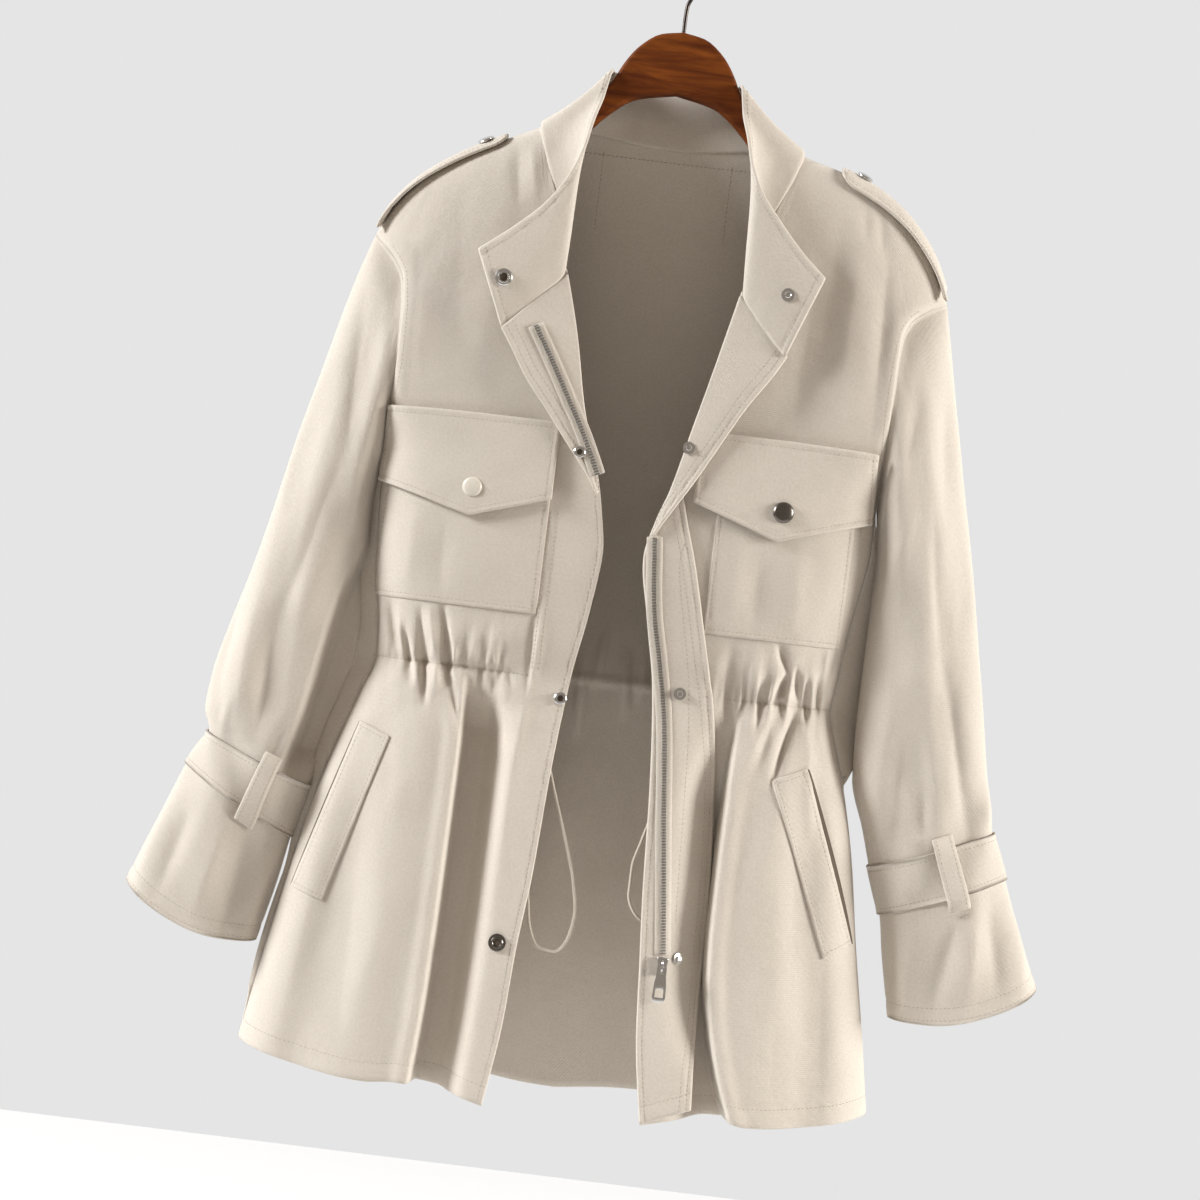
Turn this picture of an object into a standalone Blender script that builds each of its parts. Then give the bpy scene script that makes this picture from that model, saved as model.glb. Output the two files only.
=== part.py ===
"""Hip-length field-style trench coat, hung open on a wooden hanger.

Every size below is in millimetres. `x` runs to the viewer's right, `y` away
from the viewer (the front of the coat is at -y) and `drop` is the distance
below the seat of the hanger's hook, which is the part's origin. Blender's
own units are metres with +Z up, so a point is placed by `world()`.
"""

import math
from collections import namedtuple

import bmesh
import bpy
from mathutils import Matrix, Vector

MM = 0.001
LEFT, RIGHT = -1, 1  # the viewer's left and right
FRONT, BACK = -1, 1  # the sign of y on each face of the coat

# ------------------------------------------------------------------ sizes
WALL = 1.6  # one layer of twill with its seam allowance
LEAF_WALL = 2.4  # the collar, two layers and its interfacing
SEAM = 0.4  # gap between two pieces that a seam joins
SIDE_GAP = 1.3  # each side seam edge stands this far from y = 0, as its wall turns in
PATCH_WALL = 1.2
FLAP_WALL = 1.6
POCKET_LIFT = 0.9
FLAP_LIFT = 3.1
WELT_LIFT = 1.0
PLACKET_LIFT = 2.6
PLACKET_FLAT = 78.0  # past this x the strip doesn't follow the front behind it
TURNED_LIFT = 5.6  # the fronts' edges, folded out over the chest pockets
SHOULDER_ROUND = 90.0  # drop over which the shoulder reaches its full depth
ARM_TOP, ARM_FOOT = 243.0, 400.0  # ends of the armhole
ARM_DEPTH = 31.0  # half of the armhole's width, front to back
HEM = 850.0
CORD_DIAMETER = 2.4

Outline = namedtuple("Outline", "drop left right")
Depth = namedtuple("Depth", "drop front back")
Spot = namedtuple("Spot", "x drop")

SHOULDER = {  # the ridge of each shoulder, from the middle out to its tip
    LEFT: [Spot(0, 112), Spot(60, 128), Spot(95, 150), Spot(119, 162), Spot(150, 179), Spot(177, 199), Spot(194, 219), Spot(206, 243)],
    RIGHT: [Spot(0, 112), Spot(60, 127), Spot(98, 148), Spot(130, 157), Spot(155, 168), Spot(178, 184), Spot(200, 210), Spot(216, 243)],
}
ARMHOLE = [
    Outline(243, 206, 216), Outline(250, 199, 204), Outline(262, 188, 190), Outline(275, 181, 185),
    Outline(300, 178, 183), Outline(335, 177.5, 182.5), Outline(368, 179, 182), Outline(400, 179.5, 183),
]
SIDE_SEAM = [
    Outline(400, 179.5, 183), Outline(430, 180, 183), Outline(460, 178, 179), Outline(497, 174, 173),
    Outline(530, 169, 169.5), Outline(550, 168, 167.5), Outline(575, 176, 174), Outline(602, 185, 183),
    Outline(655, 200.5, 196), Outline(718, 214, 207), Outline(786, 226, 220), Outline(840, 235, 229.5),
]
FRONT_EDGE = [  # the fold of the turned-out edge, then the edge itself, as x
    Outline(256, -63, 64), Outline(302, -50, 54), Outline(355, -38, 42), Outline(405, -22, 30.5),
    Outline(428, -17, 23), Outline(455, -13, 17.5), Outline(497, -17, 25), Outline(549, -25, 35.5),
    Outline(618, -31, 42), Outline(692, -35, 46), Outline(744, -40, 50), Outline(797, -43, 54), Outline(860, -51, 64),
]
BODY_DEPTH = [
    Depth(110, 20, 24), Depth(180, 27, 29), Depth(250, 33, 33), Depth(350, 41, 37), Depth(450, 45, 38),
    Depth(520, 40, 34), Depth(550, 36, 31), Depth(600, 43, 36), Depth(700, 52, 44), Depth(860, 62, 52),
]

Fold = namedtuple("Fold", "x_top x_hem depth half_width start")  # depth is inwards
FRONT_FOLDS = [
    Fold(-92, -80, 26, 17, 545), Fold(-132, -150, -5, 14, 555), Fold(-158, -190, 5, 12, 560),
    Fold(-200, -222, -4, 12, 640), Fold(106, 112, 22, 12, 520), Fold(132, 146, -6, 13, 560),
    Fold(150, 176, 5, 12, 560), Fold(172, 205, -4, 12, 610), Fold(-118, -118, 4, 9, 550),
]
BACK_FOLDS = [
    Fold(-120, -150, 7, 16, 560), Fold(-70, -86, -6, 15, 555), Fold(-20, -24, 8, 17, 560),
    Fold(34, 40, -6, 16, 555), Fold(84, 100, 8, 17, 560), Fold(132, 168, -6, 15, 560),
]
GATHER_DROP, GATHER_REACH, GATHER_PITCH, GATHER_RISE = 546.0, 24.0, 13.6, 2.3
GATHER_INNER, GATHER_FADE = 66.0, 12.0  # the gathers stop this far from the middle

ROWS = [  # the front's rows: drop at the front edge, drop at the side, how far each still follows the shoulder
    (256, 243, 1.0), (265, 255, 0.82), (278, 270, 0.6), (294, 290, 0.4), (316, 316, 0.18), (344, 344, 0.04),
    (372, 372, 0), (400, 400, 0), (428, 428, 0), (456, 456, 0), (484, 480, 0), (506, 502, 0), (520, 518, 0),
    (533, 532, 0), (546, 546, 0), (559, 559, 0), (574, 573, 0), (592, 590, 0), (616, 612, 0), (648, 642, 0),
    (684, 676, 0), (722, 712, 0), (760, 748, 0), (798, 784, 0), (830, 814, 0), (857, 838, 0),
]
FRONT_COLUMNS = 24
BACK_COLUMNS = 22
HEM_SAG = 9.0
NECK_GAP = Spot(3.4, 1.6)  # from the collar's lower edge to the fronts' neckline

Ring = namedtuple("Ring", "outer_x outer_drop inner_x inner_drop depth bow")
SLEEVE = {
    LEFT: [
        Ring(214, 268, 181.2, 411, 32, 0.8), Ring(222, 297, 183, 424, 33, 0.55), Ring(235, 355, 184.5, 446, 34, 0.25),
        Ring(251, 428, 184, 480, 33, 0.05), Ring(267, 497, 180.5, 522, 32, 0), Ring(277, 534, 182.5, 550, 31, 0),
        Ring(287, 578, 191, 592, 30, 0), Ring(289, 602, 199, 625, 28, 0), Ring(284, 619, 206, 651, 27, 0),
        Ring(290, 631, 211, 670, 27.5, 0), Ring(297, 644, 215, 690, 28, 0), Ring(312, 684, 221, 724, 31, -0.03), Ring(331, 734, 231, 768, 34, -0.09),
    ],
    RIGHT: [
        Ring(222, 270, 184.8, 411, 32, 0.8), Ring(228, 297, 186.5, 424, 33, 0.55), Ring(241, 355, 188, 448, 34, 0.25),
        Ring(257, 428, 188, 482, 33, 0.05), Ring(270, 497, 188, 522, 32, 0), Ring(280, 544, 188, 556, 31, 0),
        Ring(289, 588, 190, 598, 30, 0), Ring(294, 608, 202, 634, 28, 0), Ring(297, 624, 210, 660, 27, 0),
        Ring(303, 639, 216, 677, 27.5, 0), Ring(310, 656, 222, 694, 28, 0), Ring(323, 690, 227, 722, 31, -0.03), Ring(343, 734, 237, 768, 34, -0.09),
    ],
}
SLEEVE_BACK = 5.0  # the sleeves hang this far behind the side seam
LOOP_AT = {LEFT: 0.64, RIGHT: 0.42}  # fraction of the cuff's width, from its outer edge
STRAP_ROWS = (8, 10)  # the sleeve rings, counted from 0, that the cuff strap lies between
RING_POINTS = 22

Leaf = namedtuple("Leaf", "top_x top_drop top_y low_x low_drop low_y")  # y is in front of the chest where it is None
COLLAR = {
    LEFT: [
        Leaf(127, 250, -47, 105, 301, -45.5), Leaf(104, 231, -45.5, 90, 287, -43.5), Leaf(83, 210, -43.5, 77, 272, -41),
        Leaf(69, 187, -40.5, 65, 254, -37.5), Leaf(61, 163, -34, 73, 214, -31), Leaf(57, 142, -24, 84, 184, -21),
        Leaf(52, 122, -12, 91.5, 163, -9), Leaf(48.5, 104, -8.5, 95, 149.5, -6), Leaf(47.5, 102.5, 9, 92.5, 144.5, 7), Leaf(27, 102, 22, 55, 148, 20),
    ],
    RIGHT: [
        Leaf(121.5, 241, -47, 101, 297, -45.5), Leaf(104, 225, -45.5, 88, 284, -43.5), Leaf(87, 206, -43.5, 76, 271, -41),
        Leaf(69, 182, -40.5, 66, 254, -37.5), Leaf(60, 160, -34, 74, 214, -31), Leaf(55.5, 142, -24, 86, 184, -21),
        Leaf(50, 122, -12, 94, 163, -9), Leaf(47, 104, -8.5, 98, 147.5, -6), Leaf(46, 102.5, 9, 95, 142.5, 7), Leaf(26, 102, 22, 55, 147.5, 20),
    ],
}
COLLAR_MIDDLE = Leaf(0, 104, 26, 0, 152, 24)
SIDE_FLARE = [  # how far the back stands out past the side seam, behind the waist
    Outline(430, 0, 0), Outline(448, 2.5, 4.5), Outline(481, 5, 9.5), Outline(522, 7.5, 15), Outline(552, 12, 15.5), Outline(588, 7, 8),
    Outline(605, 6, 0), Outline(625, 4, 0), Outline(645, 1, 0), Outline(700, 1.5, 0), Outline(724, 3, 0), Outline(766, 4, 0), Outline(838, 0, 0),
]
TURNED_TILT = 0.09  # how much the turned-out edges rise for each millimetre out from their fold
NECK_BACK = [Spot(0, 154), Spot(30, 153.2), Spot(55, 150.2), Spot(80, 147)]

Turned = namedtuple("Turned", "fold_drop free_x free_drop")
TURNED = {  # the strip of each front that is folded out below the collar
    LEFT: [Turned(260, 104.0, 305), Turned(280, 95, 318), Turned(305, 82, 338), Turned(335, 67, 356), Turned(365, 51, 376), Turned(392, 31, 401), Turned(412, 22, 415)],
    RIGHT: [Turned(260, 100.0, 301), Turned(282, 92, 316), Turned(310, 77, 340), Turned(345, 61, 370), Turned(382, 46, 398), Turned(415, 31, 424), Turned(436, 22.6, 439)],
}
PLACKET = [Spot(36.5, 397), Spot(44, 424), Spot(52, 449), Spot(62, 486), Spot(70, 518), Spot(80.5, 560), Spot(88.5, 612), Spot(94, 692), Spot(96, 797), Spot(98, 846)]
ZIP_LINE = {  # the teeth, from the collar down
    LEFT: [Spot(-80, 300), Spot(-64, 326), Spot(-50, 350), Spot(-38, 370.5), Spot(-27.5, 391.5), Spot(-23, 401)],
    RIGHT: [Spot(23.2, 440), Spot(29, 490), Spot(38, 530), Spot(46, 570), Spot(54, 640), Spot(60, 692), Spot(65, 736)],
}
ZIP_WIDTH, ZIP_WALL = 4.4, 1.4

Box = namedtuple("Box", "x0 x1 top foot")
FLAP = {LEFT: Box(-176.5, -54, 367, 422), RIGHT: Box(48, 175, 360.5, 411.5)}
FLAP_POINT = {LEFT: Spot(-110.5, 440), RIGHT: Spot(110, 432.5)}
POCKET = {LEFT: Box(-175, -55, 376, 505), RIGHT: Box(66, 166, 369, 504)}
Welt = namedtuple("Welt", "top_outer top_inner foot_outer foot_inner")
WELT = {
    LEFT: Welt(Spot(-172, 598), Spot(-149, 606), Spot(-207, 722), Spot(-183, 729)),
    RIGHT: Welt(Spot(153, 593), Spot(129, 604), Spot(201, 716), Spot(181, 727)),
}
Epaulet = namedtuple("Epaulet", "tip_x end_x front back snap_x")
EPAULET = {LEFT: Epaulet(202, 118, 5, 24, 134), RIGHT: Epaulet(211, 128, 11, 20, 145)}
EPAULET_LIFT, EPAULET_WALL = 1.6, 2.4

HANGER_TOP = [Spot(0, 69), Spot(16, 72), Spot(32, 84), Spot(42, 99), Spot(47, 109.5), Spot(60, 124), Spot(95, 158.5), Spot(120, 173), Spot(150, 191), Spot(172, 211), Spot(181, 225)]
HANGER_FOOT = [Spot(175, 236), Spot(150, 218), Spot(110, 198), Spot(75, 168), Spot(50, 138), Spot(28, 121.5), Spot(0, 115.5)]
HANGER_THICK = 11.0
HOOK_WIRE, HOOK_RADIUS = 1.5, 19.0

CORD_STEPS = 40
Route = namedtuple("Route", "x behind drop")  # how far behind the front's outer face
CORD_ROUTES = {
    "cord_left": [
        Route(-44, 3.4, 558), Route(-41, 4, 585), Route(-33, 5, 610), Route(-24, 6, 636), Route(-14, 7, 664), Route(-5, 8, 692),
        Route(-1, 8, 715), Route(-4, 8, 734), Route(-13, 8, 744), Route(-24, 8, 742), Route(-32, 8, 728), Route(-36, 7, 706),
        Route(-42, 6, 670), Route(-48, 5, 625), Route(-53, 4, 585), Route(-56, 3.4, 558),
    ],
    "cord_right": [
        Route(57, 3.4, 558), Route(55, 4, 590), Route(49, 5, 625), Route(41, 6, 656), Route(36, 6, 678), Route(36, 6, 696),
        Route(43, 6, 711), Route(53, 6, 716), Route(61, 6, 704), Route(66, 6, 676), Route(69, 5, 630), Route(70, 4, 590), Route(70, 3.4, 558),
    ],
}

COLOURS = {  # base colour, metallic, roughness
    "twill": ((0.62, 0.55, 0.46), 0.0, 0.9),
    "cord": ((0.70, 0.64, 0.55), 0.0, 0.85),
    "snap_metal": ((0.55, 0.54, 0.52), 1.0, 0.3),
    "cap_plastic": ((0.72, 0.66, 0.56), 0.0, 0.4),
    "hanger_wood": ((0.20, 0.045, 0.012), 0.0, 0.35),
    "hook_wire": ((0.05, 0.04, 0.04), 1.0, 0.35),
}


# ---------------------------------------------------------------- helpers
def world(x, y, drop):
    """Returns the Blender point, in metres, of a place in millimetres."""
    return Vector((x, y, -drop)) * MM


def clamp(value, low=0.0, high=1.0):
    return max(low, min(high, value))


def mix(a, b, t):
    return a + (b - a) * t


def smooth_table(knots, at):
    """Returns a value between (key, value) knots, on a cubic that never overshoots them."""
    if at <= knots[0][0]:
        return knots[0][1]
    if at >= knots[-1][0]:
        return knots[-1][1]
    index = next(i for i in range(len(knots) - 1) if at <= knots[i + 1][0])
    (k0, v0), (k1, v1) = knots[index], knots[index + 1]
    slope = (v1 - v0) / (k1 - k0)

    def tangent(i):
        if i == 0 or i == len(knots) - 1:
            return slope
        before = (knots[i][1] - knots[i - 1][1]) / (knots[i][0] - knots[i - 1][0])
        after = (knots[i + 1][1] - knots[i][1]) / (knots[i + 1][0] - knots[i][0])
        return 0.0 if before * after <= 0 else 2 * before * after / (before + after)

    t, span = (at - k0) / (k1 - k0), k1 - k0
    m0, m1 = tangent(index) * span, tangent(index + 1) * span
    return (2 * t**3 - 3 * t**2 + 1) * v0 + (t**3 - 2 * t**2 + t) * m0 + (3 * t**2 - 2 * t**3) * v1 + (t**3 - t**2) * m1


def along(spots, t):
    """Returns the place at fraction t of a line of spots, by their count."""
    keys = [i / (len(spots) - 1) for i in range(len(spots))]
    return tuple(smooth_table(list(zip(keys, column)), t) for column in zip(*spots))


def side_column(table, side):
    return [(row.drop, row.left if side == LEFT else row.right) for row in table]


# ------------------------------------------------------ the coat's surface
def ridge(x):
    """Returns the drop of the shoulder's ridge at x."""
    return smooth_table([(s.x, s.drop) for s in SHOULDER[LEFT if x < 0 else RIGHT]], abs(x))


def side_x(side, drop):
    """Returns |x| of the armhole or of the side seam."""
    table = ARMHOLE if drop < ARM_FOOT else SIDE_SEAM
    return smooth_table(side_column(table, side), drop)


def arm_depth(drop):
    """Returns how far the armhole's edge stands from y = 0."""
    if not ARM_TOP < drop < ARM_FOOT:
        return 0.0
    return ARM_DEPTH * math.sin(math.pi * (drop - ARM_TOP) / (ARM_FOOT - ARM_TOP)) ** 0.7


def gathers(x, drop, side):
    """Returns the ripple that the waist's drawcord makes."""
    reach = math.exp(-(((drop - GATHER_DROP) / GATHER_REACH) ** 2))
    inner = clamp((abs(x) - GATHER_INNER) / GATHER_FADE)
    outer = clamp((side_x(side, drop) - abs(x)) / GATHER_FADE)
    return -GATHER_RISE * reach * inner * outer * math.cos(math.tau * (x + 0.03 * (drop - GATHER_DROP) * math.sin(x)) / GATHER_PITCH)


def folds(x, drop, table):
    total = 0.0
    for fold in table:
        t = clamp((drop - fold.start) / (HEM - fold.start), 0, 1.1)
        if drop > fold.start:
            centre = mix(fold.x_top, fold.x_hem, t)
            total += fold.depth * min(1, t * 3.2) * math.exp(-(((x - centre) / (fold.half_width * (1 + 0.5 * t))) ** 2))
    return total


def body_y(face, x, drop):
    """Returns y of the coat's outer face."""
    side = LEFT if x < 0 else RIGHT
    depth = smooth_table([(row.drop, row.front if face == FRONT else row.back) for row in BODY_DEPTH], drop)
    rise = clamp((drop - ridge(x)) / SHOULDER_ROUND)
    full = depth * math.sqrt(1 - (1 - rise) ** 2)
    across = clamp(abs(x) / side_x(side, max(drop, ARM_TOP)))
    edge = min(arm_depth(drop), full)
    round_off = math.sqrt(max(0.0, 1 - across**4))
    relief = folds(x, drop, FRONT_FOLDS if face == FRONT else BACK_FOLDS) * round_off
    if face == FRONT or abs(x) > GATHER_INNER:
        relief += gathers(x, drop, side)
    return face * (mix(edge, full, round_off) - relief)


def on_body(face, x, drop, lift=0.0):
    """Returns the point that stands `lift` out from the coat's outer face."""
    step = 1.5
    across = Vector((2 * step, body_y(face, x + step, drop) - body_y(face, x - step, drop), 0))
    down = Vector((0, body_y(face, x, drop + step) - body_y(face, x, drop - step), -2 * step))
    normal = across.cross(down).normalized()
    if normal.y * face < 0:
        normal.negate()
    return Vector((x, body_y(face, x, drop), -drop)) + normal * lift, normal


# ---------------------------------------------------------- object makers
def material(name):
    found = bpy.data.materials.get(name)
    if found:
        return found
    colour, metallic, roughness = COLOURS[name]
    made = bpy.data.materials.new(name)
    made.use_nodes = True
    shader = made.node_tree.nodes["Principled BSDF"]
    shader.inputs["Base Color"].default_value = (*colour, 1)
    shader.inputs["Metallic"].default_value = metallic
    shader.inputs["Roughness"].default_value = roughness
    return made


def finish(obj, name, slot, parent=None):
    """Names an object, gives it its material and files it under the coat."""
    obj.name = name
    obj.data.name = name
    obj.data.materials.clear()
    obj.data.materials.append(material(slot))
    for collection in obj.users_collection:
        collection.objects.unlink(obj)
    bpy.data.collections["Coat"].objects.link(obj)
    if parent:
        obj.parent = parent
    return obj


def cloth(name, rows, wall=WALL, ring=False, offset=-1.0, slot="twill"):
    """Makes a wall of cloth from rows of points in millimetres.

    Rows run from top to bottom and their points to the right as seen from
    outside. `ring` joins the ends of each row, which makes a tube.
    """
    mesh = bpy.data.meshes.new(name)
    bm = bmesh.new()
    grid = [[bm.verts.new(Vector(point) * MM) for point in row] for row in rows]
    count = len(rows[0])
    for upper, lower in zip(grid, grid[1:]):
        for j in range(count if ring else count - 1):
            k = (j + 1) % count
            bm.faces.new((upper[j], lower[j], lower[k], upper[k]))
    bm.to_mesh(mesh)
    bm.free()
    obj = finish(bpy.data.objects.new(name, mesh), name, slot)
    mesh.shade_smooth()
    solid = obj.modifiers.new("Wall", "SOLIDIFY")
    solid.thickness = wall * MM
    solid.offset = offset
    return obj


def patch(name, lines, lift, wall, face=FRONT, columns=16, bands=4, slot="twill"):
    """Makes a piece that lies on the coat between two lines of spots, both from left to right."""
    upper, lower = lines
    rows = []
    for i in range(bands + 1):
        row, v = [], i / bands
        for j in range(columns + 1):
            a, b = along(upper, j / columns), along(lower, j / columns)
            row.append(on_body(face, mix(a[0], b[0], v), mix(a[1], b[1], v), lift + wall)[0])
        rows.append(row)
    return cloth(name, rows, wall, slot=slot)


def disc(name, centre, normal, radius, thick, slot, rim=0.5):
    """Makes a snap's cap, stud or socket, seated on `centre` and facing along `normal`."""
    bpy.ops.mesh.primitive_cylinder_add(vertices=12, radius=radius * MM, depth=thick * MM)
    obj = finish(bpy.context.object, name, slot)
    turn = normal.to_track_quat("Z", "Y").to_matrix().to_4x4()
    obj.matrix_world = Matrix.Translation((centre + normal * thick / 2) * MM) @ turn
    bevel = obj.modifiers.new("Rim", "BEVEL")
    bevel.width = rim * MM
    bevel.segments = 1
    bevel.limit_method = "ANGLE"
    return obj


def wire(name, points, radius, slot, resolution=2):
    curve = bpy.data.curves.new(name, "CURVE")
    curve.dimensions = "3D"
    spline = curve.splines.new("POLY")
    spline.points.add(len(points) - 1)
    for item, point in zip(spline.points, points):
        item.co = (*(Vector(point) * MM), 1)
    curve.bevel_depth = radius * MM
    curve.bevel_resolution = resolution
    curve.use_fill_caps = True
    return finish(bpy.data.objects.new(name, curve), name, slot)


# ---------------------------------------------------------------- the coat
def top_edge(side, u):
    """Returns (x, drop) on a front's top: up the neckline to the shoulder, then out along it."""
    neck = [(leaf.low_x + NECK_GAP.x, leaf.low_drop + NECK_GAP.drop) for leaf in COLLAR[side][3:8]]
    split = 8 / FRONT_COLUMNS  # two columns to each leaf of the collar
    if u <= split:
        x, drop = along(neck, u / split)
        return side * x, max(drop, ridge(side * x))
    start, tip = neck[-1][0], SHOULDER[side][-1].x
    x = mix(start, tip, (u - split) / (1 - split))
    return side * x, ridge(side * x)


def front(side, name):
    rows = []
    tip_x, tip_drop = top_edge(side, 1)
    edge = [(row.drop, row.left if side == LEFT else row.right) for row in FRONT_EDGE]
    for front_drop, side_drop, follow in ROWS:
        row = []
        inner = smooth_table(edge, front_drop)
        outer = side * (side_x(side, side_drop) - (SEAM if side_drop < ARM_FOOT else 0))
        for j in range(FRONT_COLUMNS + 1):
            u = j / FRONT_COLUMNS
            top_x, top_drop = top_edge(side, u)
            x = mix(inner, outer, u) + follow * (top_x - mix(edge[0][1], tip_x, u))
            drop = mix(front_drop, side_drop, u) + follow * (top_drop - mix(edge[0][0], tip_drop, u))
            low = clamp((drop - 780) / (HEM - 780))
            drop += low * HEM_SAG * math.sin(math.pi * clamp((u - 0.35) / 0.65)) - low * HEM_SAG * 0.9 * math.sin(math.pi * clamp(u / 0.45))
            y = body_y(FRONT, x, drop)
            row.append((x, min(y, -SIDE_GAP), -drop))
        rows.append(row if side == RIGHT else row[::-1])
    return cloth(name, rows)


def back(name):
    """Makes the back in one piece, its columns from the right sleeve to the left."""
    rows = []
    for front_drop, side_drop, follow in ROWS:
        row = []
        for j in range(BACK_COLUMNS + 1):
            across = 1 - 2 * j / BACK_COLUMNS
            side = RIGHT if across >= 0 else LEFT
            u, split = abs(across), 0.46
            tip, neck = SHOULDER[side][-1], COLLAR[side][7].low_x
            if u < split:
                top_x = neck * u / split
                top = smooth_table([tuple(spot) for spot in NECK_BACK] + [(neck, ridge(side * neck))], top_x)
            else:
                top_x = mix(neck, tip.x, (u - split) / (1 - split))
                top = ridge(side * top_x)
            outer = side_x(side, side_drop) - (SEAM if side_drop < ARM_FOOT else 0)
            outer += smooth_table(side_column(SIDE_FLARE, side), side_drop)
            x = u * outer + follow * (top_x - u * tip.x)
            middle_drop = front_drop - follow * (ROWS[0][0] - NECK_BACK[0].drop)
            drop = mix(middle_drop, side_drop, u) + follow * (top - mix(NECK_BACK[0].drop, tip.drop, u))
            drop -= clamp((drop - 780) / (HEM - 780)) * 8 * (1 - u)
            row.append((side * x, max(body_y(BACK, side * x, drop), SIDE_GAP), -drop))
        rows.append(row)
    return cloth(name, rows)


def armhole_at(side, s):
    """Returns (x, drop) of the armhole at fraction s of its height."""
    drop = mix(ARM_TOP, ARM_FOOT, s)
    return side * smooth_table(side_column(ARMHOLE, side), drop), drop


def sleeve_point(side, index, angle, grow=0.0):
    """Returns a point of a sleeve's ring; angle 0 is its outer edge and a quarter turn is its front."""
    s = (1 - math.cos(angle)) / 2
    hole, top, foot = (armhole_at(side, t) for t in (s, 0, 1))
    if index < 0:
        return hole[0] + side * SEAM, -math.copysign(arm_depth(hole[1]), math.sin(angle)), -hole[1]
    ring = SLEEVE[side][index]
    x = side * mix(ring.outer_x, ring.inner_x, s) + ring.bow * (hole[0] - mix(top[0], foot[0], s))
    drop = mix(ring.outer_drop, ring.inner_drop, s)
    drop += 110 * -ring.bow * math.sin(math.pi * s) if ring.bow < 0 else ring.bow * (hole[1] - mix(top[1], foot[1], s))
    ripple = math.sin(angle) * (1 + 0.07 * math.sin(3 * angle + index) + 0.05 * math.sin(5 * angle - 1.7 * index))
    return x + side * grow * math.cos(angle), clamp(index / 3) * SLEEVE_BACK - (ring.depth + grow) * ripple, -drop


def sleeve_ring(side, index, grow=0.0):
    points = [sleeve_point(side, index, math.tau * k / RING_POINTS, grow) for k in range(RING_POINTS)]
    return points if side == LEFT else points[::-1]


def sleeve(side, name):
    return cloth(name, [sleeve_ring(side, i) for i in range(-1, len(SLEEVE[side]))], ring=True)


def cuff_strap(side, name):
    first, last = STRAP_ROWS
    rows = [sleeve_ring(side, i, grow=PATCH_WALL + 0.8) for i in range(first, last + 1)]
    return cloth(name, rows, PATCH_WALL, ring=True)


def strap_loop(side, name):
    """Makes the belt loop that stands over the cuff strap, from just above it to just below."""
    first, last = STRAP_ROWS
    middle = math.acos(1 - 2 * LOOP_AT[side])
    rows = []
    for index, past, lift in ((first, -9, 1.9), (first, -1, 4.9), (first + 1, 0, 5.5), (last, 1, 4.9), (last, 9, 1.9)):
        row = []
        for turn in (-0.16, 0, 0.16):
            x, y, z = sleeve_point(side, index, middle + turn, grow=PATCH_WALL)
            row.append((x + side * past * 0.35, y - lift, z - past))
        rows.append(row if side == LEFT else row[::-1])
    return cloth(name, rows, 1.4)


def collar(name):
    """Makes the stand collar: one band from the left front's end, round the back, to the right one's."""
    leaves = [(LEFT, leaf) for leaf in COLLAR[LEFT]] + [(RIGHT, COLLAR_MIDDLE)] + [(RIGHT, leaf) for leaf in reversed(COLLAR[RIGHT])]
    tops = [(side * leaf.top_x, leaf.top_y, -leaf.top_drop) for side, leaf in leaves]
    lows = [(side * leaf.low_x, leaf.low_y, -leaf.low_drop) for side, leaf in leaves]
    for i in [*range(4, 8), *range(len(leaves) - 8, len(leaves) - 4)]:  # along the fronts' necklines
        x, _, z = lows[i]
        lows[i] = (x, body_y(FRONT, x, max(-z + 3, ridge(x))) + 1.5, z)
    for i in range(9, len(leaves) - 9):  # along the back's neckline
        x, _, z = lows[i]
        lows[i] = (x, body_y(BACK, x, -z + 2) - WALL / 2, z)
    count = 2 * (len(leaves) - 1)
    rows = []
    for v in (0, 0.33, 0.67, 1):
        rows.append([tuple(mix(a, b, v) for a, b in zip(along(tops, j / count), along(lows, j / count))) for j in range(count + 1)])
    return cloth(name, rows, LEAF_WALL, offset=0.0)


def turned_rise(side, x, drop):
    """Returns how far the turned-out edge has risen off the chest at this place."""
    fold = smooth_table(side_column(FRONT_EDGE, side), drop)
    return TURNED_TILT * max(0.0, side * (x - fold))


def turned_strip(side, name):
    """Makes the front edge that is folded out below the collar and lies on the chest."""
    edge = [(row.drop, row.left if side == LEFT else row.right) for row in FRONT_EDGE]
    rows = []
    for strip in TURNED[side]:
        row = []
        for v in (0, 0.2, 0.45, 0.72, 1):
            fold_x = smooth_table(edge, strip.fold_drop)
            x = mix(fold_x, side * strip.free_x, v)
            drop = mix(strip.fold_drop, strip.free_drop, v)
            row.append(on_body(FRONT, x, drop, TURNED_LIFT + WALL + turned_rise(side, x, drop) - 1.6 * (1 - v) ** 2)[0])
        rows.append(row if side == RIGHT else row[::-1])
    return cloth(name, rows)


def placket_y(x, drop):
    """Returns y of the outer face of the right front's zip strip."""
    inner, outer = smooth_table(side_column(FRONT_EDGE, RIGHT), drop), smooth_table([(s.drop, s.x) for s in PLACKET], drop)
    reach = (min(outer, PLACKET_FLAT) - inner) / (outer - inner)
    return body_y(FRONT, inner + (x - inner) * reach, drop) - PLACKET_LIFT * clamp(0.4 + (drop - 410) / 60) - WALL


def on_placket(x, drop, lift=0.0):
    tilt = Vector((placket_y(x + 1, drop) - placket_y(x - 1, drop), -2, placket_y(x, drop - 1) - placket_y(x, drop + 1)))
    normal = tilt.normalized()
    return Vector((x, placket_y(x, drop), -drop)) + normal * lift, normal


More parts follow.
